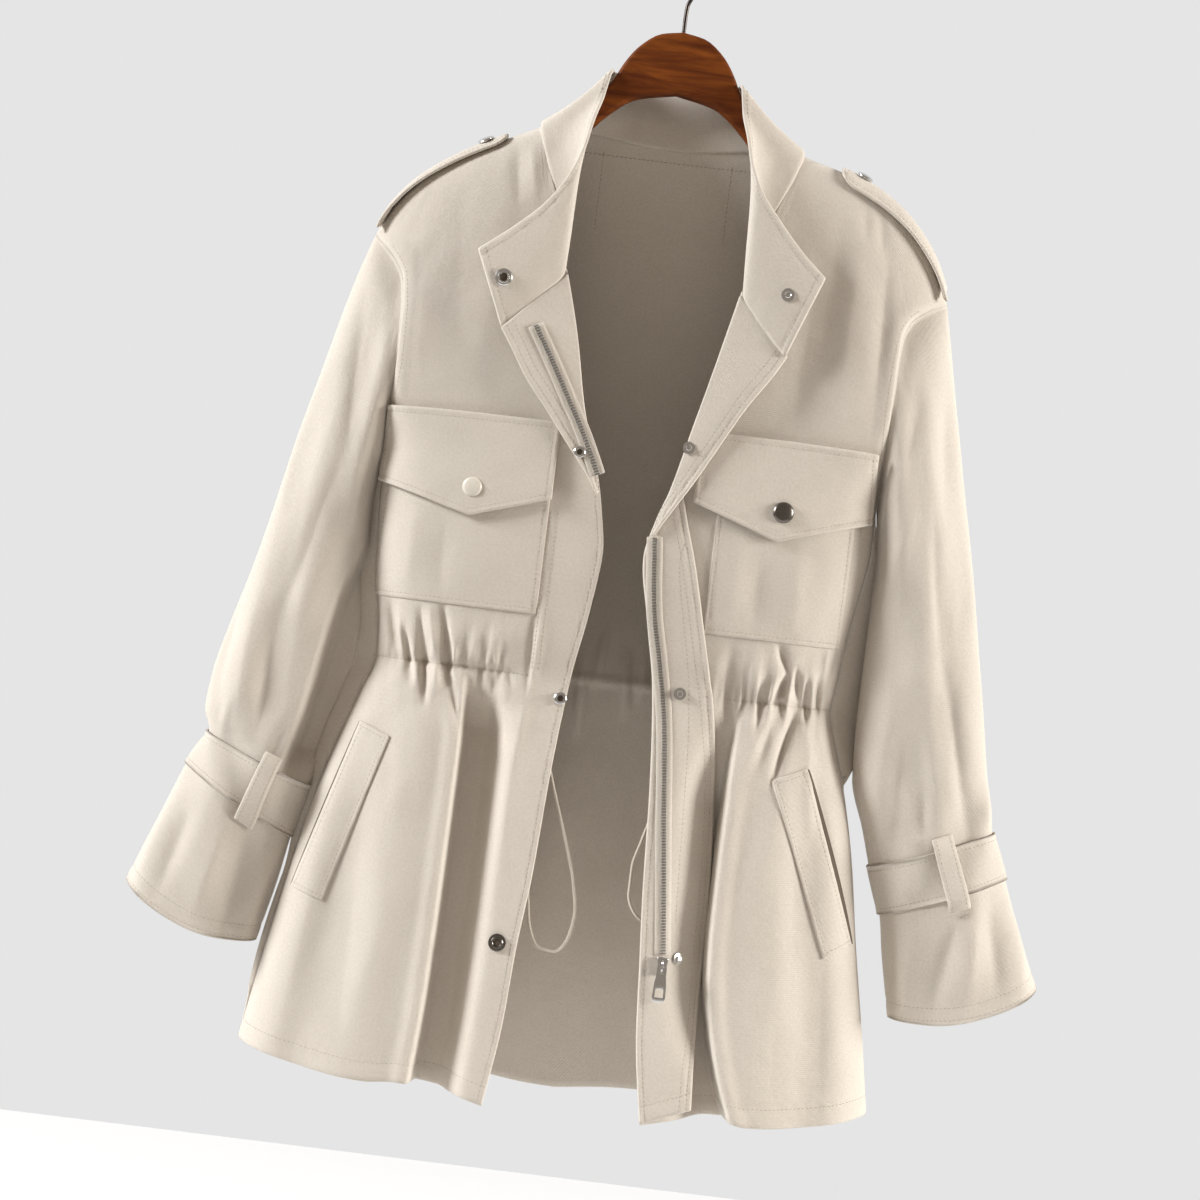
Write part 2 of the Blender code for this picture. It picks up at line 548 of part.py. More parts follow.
def placket(name):
    """Makes the zip's own strip down the right front, which stands a little off the skirt."""
    edge = side_column(FRONT_EDGE, RIGHT)
    rows = []
    for i in range(22):
        t = i / 21
        inner_drop, outer_drop = mix(396, 856, t), mix(397, 842, t)
        outer_x = smooth_table([(s.drop, s.x) for s in PLACKET], outer_drop)
        inner_x = smooth_table(edge, inner_drop)
        row = []
        for v in (0, 0.2, 0.4, 0.6, 0.8, 1):
            x, drop = mix(inner_x, outer_x, v), mix(inner_drop, outer_drop, v)
            row.append((x, placket_y(x, drop), -drop))
        rows.append(row)
    return cloth(name, rows)


def over_ridge(x, reach, lift):
    """Returns the point on the shoulder `reach` below its ridge, to the front where positive, moved out by `lift`."""
    at = lambda x, q: Vector((x, body_y(FRONT if q > 0 else BACK, x, ridge(x) + abs(q)), -ridge(x) - abs(q)))
    normal = (at(x + 2, reach) - at(x - 2, reach)).cross(at(x, reach - 1.5) - at(x, reach + 1.5)).normalized()
    return at(x, reach) + normal * lift


def epaulet(side, name):
    """Makes the shoulder strap, laid over the ridge and rounded at its snapped end."""
    strap = EPAULET[side]
    rows = []
    for i in range(10):
        t = i / 9
        x = side * mix(strap.tip_x, strap.end_x, t)
        narrow = math.sqrt(1 - clamp((t - 0.88) / 0.12) ** 2 * 0.8)
        row = []
        for q in (-1, -0.6, -0.25, -0.08, 0, 0.3, 1):
            reach = q * (strap.front if q > 0 else strap.back) * narrow
            row.append(over_ridge(x, reach, EPAULET_LIFT + EPAULET_WALL))
        rows.append(row)
    rows = [list(column) for column in zip(*rows)]
    return cloth(name, rows if side == LEFT else [row[::-1] for row in rows], EPAULET_WALL)


def flap(side, name):
    box, point = FLAP[side], FLAP_POINT[side]
    slope = lambda x: mix(box.foot, point.drop, 1 - abs(x - point.x) / (point.x - box.x0 if x < point.x else box.x1 - point.x))
    half = 8
    xs = [mix(box.x0, point.x, j / half) for j in range(half)] + [mix(point.x, box.x1, j / half) for j in range(half + 1)]
    rows = []
    for v in (0, 0.3, 0.65, 1):
        rows.append([on_body(FRONT, x, mix(box.top, slope(x), v), FLAP_LIFT + FLAP_WALL + 1.2 * v)[0] for x in xs])
    return cloth(name, rows, FLAP_WALL)


def box_lines(box):
    return [Spot(box.x0, box.top), Spot(box.x1, box.top)], [Spot(box.x0, box.foot), Spot(box.x1, box.foot)]


def zip_strip(side, name, lift):
    line = ZIP_LINE[side]
    rows = []
    for i in range(19 if side == RIGHT else 9):
        t = i / (18 if side == RIGHT else 8)
        x, drop = along(line, t)
        carrier = (lambda a, b, out: on_body(FRONT, a, b, out + turned_rise(LEFT, a, b))) if side == LEFT else on_placket
        rows.append([carrier(x + dx, drop, lift + ZIP_WALL)[0] for dx in (-ZIP_WIDTH / 2, 0, ZIP_WIDTH / 2)])
    return cloth(name, rows, ZIP_WALL, slot="snap_metal")


# ------------------------------------------------------- hardware and wood
def hanger(name):
    """Makes the hanger's wooden yoke from its front outline, mirrored about the hook."""
    half = [(s.x, s.drop) for s in HANGER_TOP + HANGER_FOOT]
    outline = half + [(-x, drop) for x, drop in reversed(half[1:-1])]
    curve = bpy.data.curves.new(name, "CURVE")
    curve.dimensions = "2D"
    curve.fill_mode = "BOTH"
    curve.extrude = (HANGER_THICK / 2 - 2) * MM
    curve.bevel_depth = 2 * MM
    curve.offset = -2 * MM
    curve.bevel_resolution = 1
    spline = curve.splines.new("POLY")
    spline.points.add(len(outline) - 1)
    for item, (x, drop) in zip(spline.points, outline):
        item.co = (x * MM, -drop * MM, 0, 1)
    spline.use_cyclic_u = True
    obj = finish(bpy.data.objects.new(name, curve), name, "hanger_wood")
    obj.rotation_euler = (math.pi / 2, 0, 0)
    return obj


def hook(name):
    """Makes the hanger's wire hook, whose crown has its underside at the origin."""
    centre = HOOK_RADIUS
    bend = [(HOOK_RADIUS * math.sin(math.radians(a)), 0, -centre + HOOK_RADIUS * math.cos(math.radians(a))) for a in range(-100, 151, 10)]
    stem = [(2.4, 0, -44), (0.4, 0, -50), (0, 0, -58), (0, 0, -68.4)]
    points = [(x, y, z + HOOK_WIRE) for x, y, z in bend] + stem
    return wire(name, points, HOOK_WIRE, "hook_wire")


def slider_parts():
    """Makes the zip's slider at the foot of the teeth, its bail, and the pull tab that hinges in it."""
    x, drop = 65.5, 743.0
    seat, _ = on_placket(x, drop, 0.9)
    y = seat.y
    bpy.ops.mesh.primitive_cube_add(size=1)
    body = finish(bpy.context.object, "zip_slider", "snap_metal")
    body.scale = Vector((8.5, 5.0, 12)) * MM
    body.location = world(x, y - 2.5, drop)
    arch = [(x, y - 4.6, -drop + 4.2), (x, y - 7.2, -drop + 3.4), (x, y - 8.4, -drop + 1.4), (x, y - 8.4, -drop - 1.4), (x, y - 7.2, -drop - 3.4), (x, y - 4.6, -drop - 4.2)]
    bail = wire("bail", arch, 0.7, "snap_metal")
    bpy.context.view_layer.update()
    solid = bpy.data.meshes.new_from_object(bail.evaluated_get(bpy.context.evaluated_depsgraph_get()))
    bm = bmesh.new()
    bm.from_mesh(solid)
    bmesh.ops.remove_doubles(bm, verts=bm.verts, dist=1e-6)
    bm.to_mesh(solid)
    bm.free()
    cutter = bpy.data.objects.new("bail_solid", solid)
    bpy.data.collections["Helpers"].objects.link(cutter)
    cutter.hide_render = True
    bpy.data.objects.remove(bail)
    join = body.modifiers.new("Bail", "BOOLEAN")
    join.operation = "UNION"
    join.object = cutter

    pivot = bpy.data.objects.new("pull_pivot", None)
    bpy.data.collections["Coat"].objects.link(pivot)
    pivot.location = world(x, y - 6.5, drop)
    bpy.ops.mesh.primitive_cube_add(size=1)
    tab = bpy.context.object
    tab.scale = Vector((9.5, 1.4, 27)) * MM
    finish(tab, "zip_pull", "snap_metal")
    tab.parent = pivot
    tab.location = world(0, 0, 12.7)
    for label, size, place in (("pull_eye", (4.5, 4, 5.0), 3.2), ("pull_window", (5.0, 4, 9.0), 17.6)):
        bpy.ops.mesh.primitive_cube_add(size=1)
        cut = bpy.context.object
        cut.name = label
        cut.scale = Vector(size) * MM
        cut.location = pivot.location + world(0, 0, place)
        for collection in cut.users_collection:
            collection.objects.unlink(cut)
        bpy.data.collections["Helpers"].objects.link(cut)
        cut.hide_render = True
        cut.display_type = "WIRE"
        hole = tab.modifiers.new(label, "BOOLEAN")
        hole.operation = "DIFFERENCE"
        hole.object = cut


def collar_seat(side, section, fraction):
    """Returns the point and outward normal on the collar leaf's face that shows."""
    tops = [(side * leaf.top_x, leaf.top_y, -leaf.top_drop) for leaf in COLLAR[side]]
    lows = [(side * leaf.low_x, leaf.low_y, -leaf.low_drop) for leaf in COLLAR[side]]
    count = len(tops) - 1
    at = lambda s, f: Vector([mix(a, b, f) for a, b in zip(along(tops, s / count), along(lows, s / count))])
    normal = (at(section + 0.1, fraction) - at(section - 0.1, fraction)).cross(at(section, fraction + 0.1) - at(section, fraction - 0.1)).normalized()
    if normal.y > 0:
        normal.negate()
    return at(section, fraction) + normal * (LEAF_WALL / 2 + 0.35), normal


def snaps():
    """Makes the press snaps of the collar, fronts, pocket flaps and epaulets."""
    Snap = namedtuple("Snap", "name x drop lift radius thick slot")
    for snap in (
        Snap("snap_flap_left", -110.5, 420, FLAP_LIFT + FLAP_WALL + 1.35, 7.0, 2.2, "cap_plastic"),
        Snap("snap_flap_right", 112, 411.5, FLAP_LIFT + FLAP_WALL + 1.35, 7.6, 3.2, "snap_metal"),
        Snap("snap_left_2", -37.6, 386.5, TURNED_LIFT + WALL + 0.3, 4.3, 1.8, "snap_metal"),
        Snap("snap_right_2", 39.5, 374, TURNED_LIFT + 1.7, 4.6, 2.4, "snap_metal"),
        Snap("snap_left_3", -30, 563.5, 0.7, 4.6, 2.0, "snap_metal"),
        Snap("snap_right_3", 55, 549.5, 1.1, 4.6, 2.6, "snap_metal"),
        Snap("snap_left_4", -53.5, 741.5, 0.7, 6.4, 1.6, "snap_metal"),
        Snap("snap_right_4", 76, 738, 0.6, 4.2, 2.6, "snap_metal"),
    ):
        on_strip = snap.name in ("snap_right_3", "snap_right_4")
        rise = turned_rise(LEFT if snap.x < 0 else RIGHT, snap.x, snap.drop) if snap.name.endswith("_2") else 0
        centre, normal = on_placket(snap.x, snap.drop, snap.lift) if on_strip else on_body(FRONT, snap.x, snap.drop, snap.lift + rise)
        disc(snap.name, centre, normal, snap.radius, snap.thick, snap.slot)
    for side, label, section, fraction, radius in ((LEFT, "snap_left_1", 0.45, 0.5, 6.4), (RIGHT, "snap_right_1", 0.9, 0.5, 5.0)):
        centre, normal = collar_seat(side, section, fraction)
        disc(label, centre, normal, radius, 2.0, "snap_metal")
    for side, label in ((LEFT, "snap_epaulet_left"), (RIGHT, "snap_epaulet_right")):
        strap = EPAULET[side]
        x = side * strap.snap_x
        top = ridge(x) - EPAULET_LIFT - EPAULET_WALL - 0.7
        slope = math.atan2(ridge(x + side * 6) - ridge(x - side * 6), 12)
        normal = Vector((side * math.sin(slope), -0.25, math.cos(slope))).normalized()
        disc(label, Vector((x, -1.5, -top)), normal, 6.2, 2.4, "snap_metal")


def cords():
    """Makes the two loops of the waist's drawcord that hang inside the opening."""
    for name, route in CORD_ROUTES.items():
        points = [along(route, i / CORD_STEPS) for i in range(CORD_STEPS + 1)]
        wire(name, [(x, body_y(FRONT, x, drop) + behind, -drop) for x, behind, drop in points], CORD_DIAMETER / 2, "cord", resolution=1)


def main():
    for obj in list(bpy.data.objects):
        bpy.data.objects.remove(obj)
    for name in ("Coat", "Helpers"):
        bpy.context.scene.collection.children.link(bpy.data.collections.new(name))
    back("back_panel")
    collar("collar")
    for side, word in ((LEFT, "left"), (RIGHT, "right")):
        front(side, f"front_{word}")
        turned_strip(side, f"turned_edge_{word}")
        sleeve(side, f"sleeve_{word}")
        cuff_strap(side, f"cuff_strap_{word}")
        strap_loop(side, f"strap_loop_{word}")
        epaulet(side, f"epaulet_{word}")
        patch(f"chest_pocket_{word}", box_lines(POCKET[side]), POCKET_LIFT, PATCH_WALL)
        flap(side, f"pocket_flap_{word}")
        welt = WELT[side]
        ends = (welt.top_outer, welt.top_inner), (welt.foot_outer, welt.foot_inner)
        patch(f"hip_welt_{word}", [sorted(pair) for pair in ends], WELT_LIFT, 1.8, columns=4, bands=9)
        zip_strip(side, f"zip_{word}", TURNED_LIFT + WALL + 0.5 if side == LEFT else 0.8)
    placket("placket_right")
    hanger("hanger_yoke")
    hook("hanger_hook")
    snaps()
    slider_parts()
    cords()


main()
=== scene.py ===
"""Looks of a short trench coat that hangs open on a wooden hanger.

Lengths in this script are millimetres until a mesh is made, and are then
written in metres. `x` runs to the viewer's right, `y` away from the viewer
and `drop` is the distance below the seat of the hanger's hook. The cloth
follows the same named sizes as the frame's solids, with finer creases,
stitching and trims laid over them.
"""

from __future__ import annotations

import logging
import math
from collections import namedtuple
from dataclasses import dataclass, field
from enum import Enum
from typing import Callable, Sequence

import bpy
import numpy as np
from mathutils.geometry import tessellate_polygon
from mathutils import Matrix, Vector


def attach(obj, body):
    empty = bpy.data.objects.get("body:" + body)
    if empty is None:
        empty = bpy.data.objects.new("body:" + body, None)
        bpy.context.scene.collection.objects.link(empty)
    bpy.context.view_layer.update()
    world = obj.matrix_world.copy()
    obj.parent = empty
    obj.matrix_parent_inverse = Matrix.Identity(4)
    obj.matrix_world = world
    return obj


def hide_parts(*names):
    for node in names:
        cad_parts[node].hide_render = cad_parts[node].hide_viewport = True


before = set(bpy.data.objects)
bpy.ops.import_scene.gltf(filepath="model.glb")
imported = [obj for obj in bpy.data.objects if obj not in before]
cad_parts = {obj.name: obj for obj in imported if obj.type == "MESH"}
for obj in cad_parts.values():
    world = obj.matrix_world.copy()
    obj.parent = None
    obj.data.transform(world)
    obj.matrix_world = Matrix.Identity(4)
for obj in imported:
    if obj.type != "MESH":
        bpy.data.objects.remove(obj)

log = logging.getLogger("coat")
MM = 0.001
BODY, TAB = "coat", "pull_tab"

Array = np.ndarray
Outline = namedtuple("Outline", "drop left right")
Depth = namedtuple("Depth", "drop front back")
Spot = namedtuple("Spot", "x drop")
Fold = namedtuple("Fold", "x_top x_hem depth half_width start")
Row = namedtuple("Row", "front_drop side_drop follow")
Ring = namedtuple("Ring", "outer_x outer_drop inner_x inner_drop depth bow")
Leaf = namedtuple("Leaf", "top_x top_drop top_y low_x low_drop low_y")
Turned = namedtuple("Turned", "fold_drop free_x free_drop")
Box = namedtuple("Box", "x0 x1 top foot")
Welt = namedtuple("Welt", "top_outer top_inner foot_outer foot_inner")
Tab = namedtuple("Tab", "tip_x end_x front back snap_x")
Route = namedtuple("Route", "x behind drop")
Pleat = namedtuple("Pleat", "hand edge start depth sharp fade floor")


class Side(Enum):
    """The viewer's left or right half of the coat, as the sign of x."""

    LEFT = -1
    RIGHT = 1

    @property
    def word(self) -> str:
        """Returns the side's name as it ends the frame's node names."""
        return self.name.lower()


class Face(Enum):
    """The front or back of the coat, as the sign of y."""

    FRONT = -1
    BACK = 1


@dataclass(frozen=True)
class Crease:
    """A soft ridge, or a trough where `rise` is negative, between two places on a panel."""

    x0: float
    drop0: float
    x1: float
    drop1: float
    width: float
    rise: float

    def relief(self, x: Array, drop: Array) -> Array:
        """Returns how far the crease moves the cloth out.

        Args:
            x: Places across the coat.
            drop: Places down the coat.

        Returns:
            The rise at each place.
        """
        run, fall = self.x1 - self.x0, self.drop1 - self.drop0
        t = ((x - self.x0) * run + (drop - self.drop0) * fall) / (run * run + fall * fall)
        near = np.clip(t, 0, 1)
        apart = (x - self.x0 - near * run) ** 2 + (drop - self.drop0 - near * fall) ** 2
        return self.rise * (0.25 + 0.75 * np.sin(np.pi * near)) * np.exp(-((apart / self.width**2) ** 0.75))


def smooth_stack(keys: Array, values: Array, at: Array) -> Array:
    """Runs smoothly through a stack of arrays without overshooting them.

    Args:
        keys: The key of each array, rising.
        values: The arrays, stacked on their first axis.
        at: The keys to read.

    Returns:
        The arrays at those keys, stacked on their first axis.
    """
    shape = (-1,) + (1,) * (values.ndim - 1)
    spans = np.diff(keys).reshape(shape)
    slopes = np.diff(values, axis=0) / spans
    before, after = slopes[:-1], slopes[1:]
    product = before * after
    inner = np.where(product > 0, 2 * product / np.where(product > 0, before + after, 1), 0)
    starts = np.concatenate([slopes[:1], inner])
    ends = np.concatenate([inner, slopes[-1:]])
    index = np.clip(np.searchsorted(keys, at, side="right") - 1, 0, len(keys) - 2)
    t = ((np.clip(at, keys[0], keys[-1]) - keys[index]) / np.diff(keys)[index]).reshape(shape)
    span = spans[index]
    return (
        (2 * t**3 - 3 * t**2 + 1) * values[index]
        + (t**3 - 2 * t**2 + t) * starts[index] * span
        + (3 * t**2 - 2 * t**3) * values[index + 1]
        + (t**3 - t**2) * ends[index] * span
    )


class Curve:
    """A value that runs smoothly through (key, value) knots and never overshoots them."""

    def __init__(self, knots: Sequence[tuple[float, float]]) -> None:
        """Samples the curve densely.

        Args:
            knots: The knots, their keys rising.
        """
        keys = np.array([knot[0] for knot in knots], float)
        values = np.array([knot[1] for knot in knots], float)
        self.at = np.unique(np.concatenate([np.linspace(k, n, 25) for k, n in zip(keys, keys[1:])]))
        self.out = smooth_stack(keys, values, self.at)

    def __call__(self, key: Array | float) -> Array:
        """Returns the value at each key."""
        return np.interp(key, self.at, self.out)


def mix(a: Array | float, b: Array | float, t: Array | float) -> Array | float:
    """Returns the value a fraction t of the way from a to b."""
    return a + (b - a) * t


def along(spots: Sequence[tuple], t: Array) -> list[Array]:
    """Returns each column of a line of spots at fraction t of the line, by their count."""
    keys = [i / (len(spots) - 1) for i in range(len(spots))]
    return [Curve(list(zip(keys, column)))(t) for column in zip(*spots)]


@dataclass
class CoatForm:
    """The sizes of the hung coat, and the surface that its panels follow."""

    wall: float = 1.6
    seam: float = 0.1
    shoulder_round: float = 90.0
    arm_top: float = 243.0
    arm_foot: float = 400.0
    arm_half_width: float = 31.0
    hem: float = 850.0
    hem_sag: float = 4.0
    gather_drop: float = 546.0
    gather_reach: float = 24.0
    gather_pitch: float = 13.6
    gather_rise: float = 0.9
    gather_inner: float = 66.0
    pouch: float = 2.2
    pouches: tuple = ((-19.0, 9.0, 11.0, 2.0), (20.0, 10.0, 13.0, 0.0))
    gather_fade: float = 12.0
    placket_lift: float = 2.6
    placket_flat: float = 78.0
    turned_lift: float = 5.6
    shoulders: dict = field(default_factory=lambda: {
        Side.LEFT: [Spot(0, 112), Spot(60, 128), Spot(95, 150), Spot(119, 162), Spot(150, 179), Spot(177, 199),
            Spot(194, 219), Spot(206, 243)],
        Side.RIGHT: [Spot(0, 112), Spot(60, 127), Spot(98, 148), Spot(130, 157), Spot(155, 168), Spot(178, 184),
            Spot(200, 210), Spot(216, 243)],
    })
    armhole: tuple = (
        Outline(243, 206, 216), Outline(250, 199, 204), Outline(262, 188, 190), Outline(275, 181, 185),
        Outline(300, 178, 183), Outline(335, 177.5, 182.5), Outline(368, 179, 182), Outline(400, 179.5, 183),
    )
    side_seam: tuple = (
        Outline(400, 179.5, 183), Outline(430, 180, 183), Outline(460, 178, 179), Outline(497, 174, 173),
        Outline(530, 169, 169.5), Outline(550, 168, 167.5), Outline(575, 176, 174), Outline(602, 185, 183),
        Outline(655, 200.5, 196), Outline(718, 214, 207), Outline(786, 226, 220), Outline(840, 235, 229.5),
    )
    front_edge: tuple = (
        Outline(256, -63, 64), Outline(302, -50, 54), Outline(355, -38, 42), Outline(405, -22, 30.5),
        Outline(428, -17, 23), Outline(455, -13, 17.5), Outline(497, -17, 25), Outline(549, -25, 35.5),
        Outline(618, -31, 42), Outline(692, -35, 46), Outline(744, -40, 50), Outline(797, -43, 54),
        Outline(860, -51, 64),
    )
    body_depth: tuple = (
        Depth(110, 20, 24), Depth(180, 27, 29), Depth(250, 33, 33), Depth(350, 41, 37), Depth(450, 45, 38),
        Depth(520, 40, 34), Depth(550, 36, 31), Depth(600, 43, 36), Depth(700, 52, 44), Depth(860, 62, 52),
    )
    placket: tuple = (Spot(36.5, 397), Spot(44, 424), Spot(52, 449), Spot(62, 486), Spot(70, 518), Spot(80.5, 560),
        Spot(88.5, 612), Spot(94, 692), Spot(96, 797), Spot(98, 846))
    front_folds: tuple = (
        Fold(-132, -150, -4, 14, 555), Fold(-158, -190, 3.5, 12, 560), Fold(-200, -222, -4, 12, 640),
        Fold(136, 150, -3, 16, 560), Fold(154, 180, 3.5, 12, 560), Fold(172, 205, -4, 12, 610),
    )
    back_folds: tuple = (
        Fold(-120, -150, 7, 16, 560), Fold(-70, -86, -6, 15, 555), Fold(-20, -24, 8, 17, 560),
        Fold(34, 40, -6, 16, 555), Fold(84, 100, 8, 17, 560), Fold(132, 168, -6, 15, 560),
    )
    side_flare: tuple = (
        Outline(430, 0, 0), Outline(448, 2.5, 4.5), Outline(481, 5, 9.5), Outline(522, 7.5, 15),
        Outline(552, 12, 15.5), Outline(588, 7, 8),
        Outline(605, 6, 0), Outline(625, 4, 0), Outline(645, 1, 0), Outline(700, 1.5, 0), Outline(724, 3, 0),
        Outline(766, 4, 0), Outline(838, 0, 0),
    )
    turned_tilt: float = 0.09
    pleats: tuple = (
        Pleat(1, (Spot(-104, 540), Spot(-101, 575), Spot(-99, 605), Spot(-99.5, 700), Spot(-101, 780),
            Spot(-106, 862)), (543, 592), 27, 5, 13, 13),
        Pleat(-1, (Spot(106, 545), Spot(101, 575), Spot(99, 610), Spot(98, 665), Spot(98, 710), Spot(100, 750),
            Spot(106, 785), Spot(115, 818), Spot(127, 850), Spot(131, 862)), (548, 625), 27, 5, 16, 12),
    )
    front_creases: tuple = (
        Crease(-162, 508, -151, 549, 3.4, -6.0), Crease(-149, 526, -139, 563, 3.2, -6.4),
        Crease(-138, 513, -127, 578, 3.0, -6.6),
        Crease(-122, 508, -111, 562, 3.0, -7.4), Crease(-113, 553, -101, 590, 4.0, -5.0),
        Crease(-104, 536, -106, 556, 2.6, -3.0),
        Crease(-92, 540, -90, 560, 3.0, -2.4), Crease(-81, 543, -78, 566, 3.0, -2.2),
        Crease(-70, 548, -66, 560, 2.8, -1.8),
        Crease(-156, 516, -145, 552, 3.0, 3.2), Crease(-144, 530, -134, 566, 2.6, 3.0),
        Crease(-131, 512, -119, 568, 3.0, 3.4),
        Crease(-116, 520, -106, 552, 2.8, 2.6), Crease(-169, 500, -165, 545, 2.6, 2.0),
        Crease(-56, 500, -54, 575, 2.8, -3.2),
        Crease(-49, 498, -57, 610, 4.2, 3.0), Crease(-58, 585, -60, 700, 8, 1.6),
        Crease(-172, 549, -62, 549, 3.2, -3.6),
        Crease(-128, 580, -122, 650, 8, 1.6), Crease(-150, 590, -140, 700, 12, -1.3),
        Crease(-126, 700, -150, 790, 14, 1.6),
        Crease(-122, 740, -130, 850, 16, -1.6), Crease(-162, 650, -158, 850, 24, -6.0),
        Crease(-185, 640, -205, 850, 12, 2.2),
        Crease(122, 506, 131, 526, 3.0, -5.4), Crease(131, 526, 127, 545, 2.8, -6.4),
        Crease(137, 522, 141, 547, 2.8, -7.0),
        Crease(141, 547, 129, 606, 3.4, -7.0), Crease(146, 530, 148, 560, 2.6, -6.6),
        Crease(154, 527, 156, 552, 2.6, -6.2),
        Crease(167, 498, 161, 530, 3.0, -4.0), Crease(160, 532, 178, 604, 3.2, -4.4),
        Crease(117, 534, 112, 572, 3.4, -3.6),
        Crease(123, 530, 118, 556, 2.8, 3.2), Crease(134, 528, 133, 556, 2.6, 3.4),
        Crease(143.5, 526, 145, 556, 2.4, 3.0),
        Crease(151, 526, 152, 556, 2.4, 3.2), Crease(159, 505, 159, 530, 2.8, 2.6),
        Crease(151, 556, 160, 640, 5, 2.4),
        Crease(100, 549, 166, 549, 3.2, -3.4), Crease(121, 545, 109, 600, 6, 2.6),
        Crease(126, 552, 117, 596, 4, -2.6), Crease(88, 512, 92, 592, 9, -4.0), Crease(104, 508, 106, 545, 8, 2.4),
        Crease(140, 600, 118, 720, 10, 2.6), Crease(150, 640, 160, 740, 10, -1.6),
        Crease(178, 690, 192, 850, 21, -5.0), Crease(150, 760, 156, 850, 14, -2.4),
        Crease(156, 590, 204, 717, 3.0, -1.2), Crease(-174, 597, -209, 712, 3.0, -0.8),
        Crease(-166, 272, -160, 345, 10, 1.3), Crease(-146, 190, -134, 330, 14, -1.0),
        Crease(-112, 230, -118, 350, 13, 0.9),
        Crease(-100, 165, -92, 205, 5, 1.6), Crease(-88, 160, -84, 195, 4, -1.4),
        Crease(-110, 168, -104, 210, 5, -1.4),
        Crease(148, 195, 143, 330, 11, 1.3), Crease(168, 205, 170, 340, 7, -2.4),
        Crease(132, 190, 126, 290, 11, -1.1),
        Crease(118, 215, 112, 352, 24, -4.5), Crease(160, 186, 164, 215, 4, -2.2),
        Crease(148, 180, 150, 205, 4, -1.8),
        Crease(-128, 445, -126, 500, 10, -2.0), Crease(-150, 440, -150, 505, 8, 1.6),
        Crease(-95, 445, -92, 500, 10, 1.5),
        Crease(100, 440, 102, 500, 11, -2.4), Crease(128, 436, 130, 500, 10, 2.0), Crease(85, 430, 84, 500, 8, 1.6),
    )
    back_creases: tuple = (
        Crease(-158, 512, -150, 560, 3.2, -5.4), Crease(-146, 528, -142, 574, 3.0, -6.0),
        Crease(-131, 516, -124, 566, 3.2, -6.2), Crease(-117, 530, -113, 584, 3.0, -5.0),
        Crease(-101, 520, -104, 562, 3.0, -5.6), Crease(-86, 534, -82, 590, 3.4, -5.0),
        Crease(-70, 518, -66, 556, 2.8, -4.4), Crease(-52, 528, -54, 578, 3.2, -5.2),
        Crease(-36, 520, -31, 558, 2.8, -4.6), Crease(-18, 532, -15, 588, 3.4, -5.4),
        Crease(-3, 514, -6, 556, 2.8, -4.2), Crease(14, 526, 18, 572, 3.0, -5.6),
        Crease(31, 518, 28, 560, 3.0, -4.6), Crease(47, 530, 52, 592, 3.4, -5.2), Crease(66, 516, 63, 556, 2.8, -4.8),
        Crease(81, 528, 86, 580, 3.2, -5.6),
        Crease(99, 520, 96, 560, 3.0, -5.0), Crease(114, 532, 120, 586, 3.4, -5.8),
        Crease(131, 514, 130, 560, 3.0, -5.8), Crease(146, 526, 150, 572, 3.0, -6.0),
        Crease(160, 510, 157, 556, 2.8, -4.6),
        Crease(-166, 549, 166, 549, 3.4, -3.0), Crease(-154, 250, -140, 400, 13, -2.2),
        Crease(-122, 230, -104, 360, 15, 2.0), Crease(150, 240, 138, 410, 13, -2.4),
        Crease(118, 220, 106, 380, 15, 1.8),
        Crease(-60, 300, -74, 470, 17, -1.6), Crease(58, 280, 76, 460, 17, -1.8), Crease(-8, 340, -4, 500, 18, 1.6),
        Crease(-168, 300, -166, 420, 7, -2.4), Crease(171, 310, 168, 430, 7, -2.2),
        Crease(-96, 600, -108, 760, 13, 2.4), Crease(-40, 620, -48, 790, 14, -2.2), Crease(16, 600, 12, 740, 13, 2.2),
        Crease(70, 610, 82, 800, 15, -2.6), Crease(122, 600, 140, 770, 13, 2.2),
        Crease(-146, 610, -168, 800, 13, -2.4),
    )

    def __post_init__(self) -> None:
        """Samples the tables once."""
        self._ridge = {side: Curve(spots) for side, spots in self.shoulders.items()}
        self._side = {
            side: (Curve([(r.drop, getattr(r, side.word)) for r in self.armhole]),
                Curve([(r.drop, getattr(r, side.word)) for r in self.side_seam]))
            for side in Side
        }
        self.edge = {side: Curve([(r.drop, getattr(r, side.word)) for r in self.front_edge]) for side in Side}
        self._depth = {face: Curve([(r.drop, getattr(r,
            face.name.lower())) for r in self.body_depth]) for face in Face}
        self.flare = {side: Curve([(r.drop, getattr(r, side.word)) for r in self.side_flare]) for side in Side}
        self._pleats = [(pleat, Curve([(s.drop, s.x) for s in pleat.edge])) for pleat in self.pleats]
        self.placket_edge = Curve([(s.drop, s.x) for s in self.placket])

    def ridge(self, x: Array) -> Array:
        """Returns the drop of the shoulder's ridge at x."""
        return np.where(np.asarray(x) < 0, self._ridge[Side.LEFT](np.abs(x)), self._ridge[Side.RIGHT](np.abs(x)))

    def side_x(self, side: Side, drop: Array) -> Array:
        """Returns |x| of the armhole or of the side seam."""
        hole, seam = self._side[side]
        return np.where(np.asarray(drop) < self.arm_foot, hole(drop), seam(drop))

    def armhole_at(self, side: Side, s: Array) -> tuple[Array, Array]:
        """Returns (x, drop) of the armhole at fraction s of its height."""
        drop = mix(self.arm_top, self.arm_foot, s)
        return side.value * self._side[side][0](drop), drop

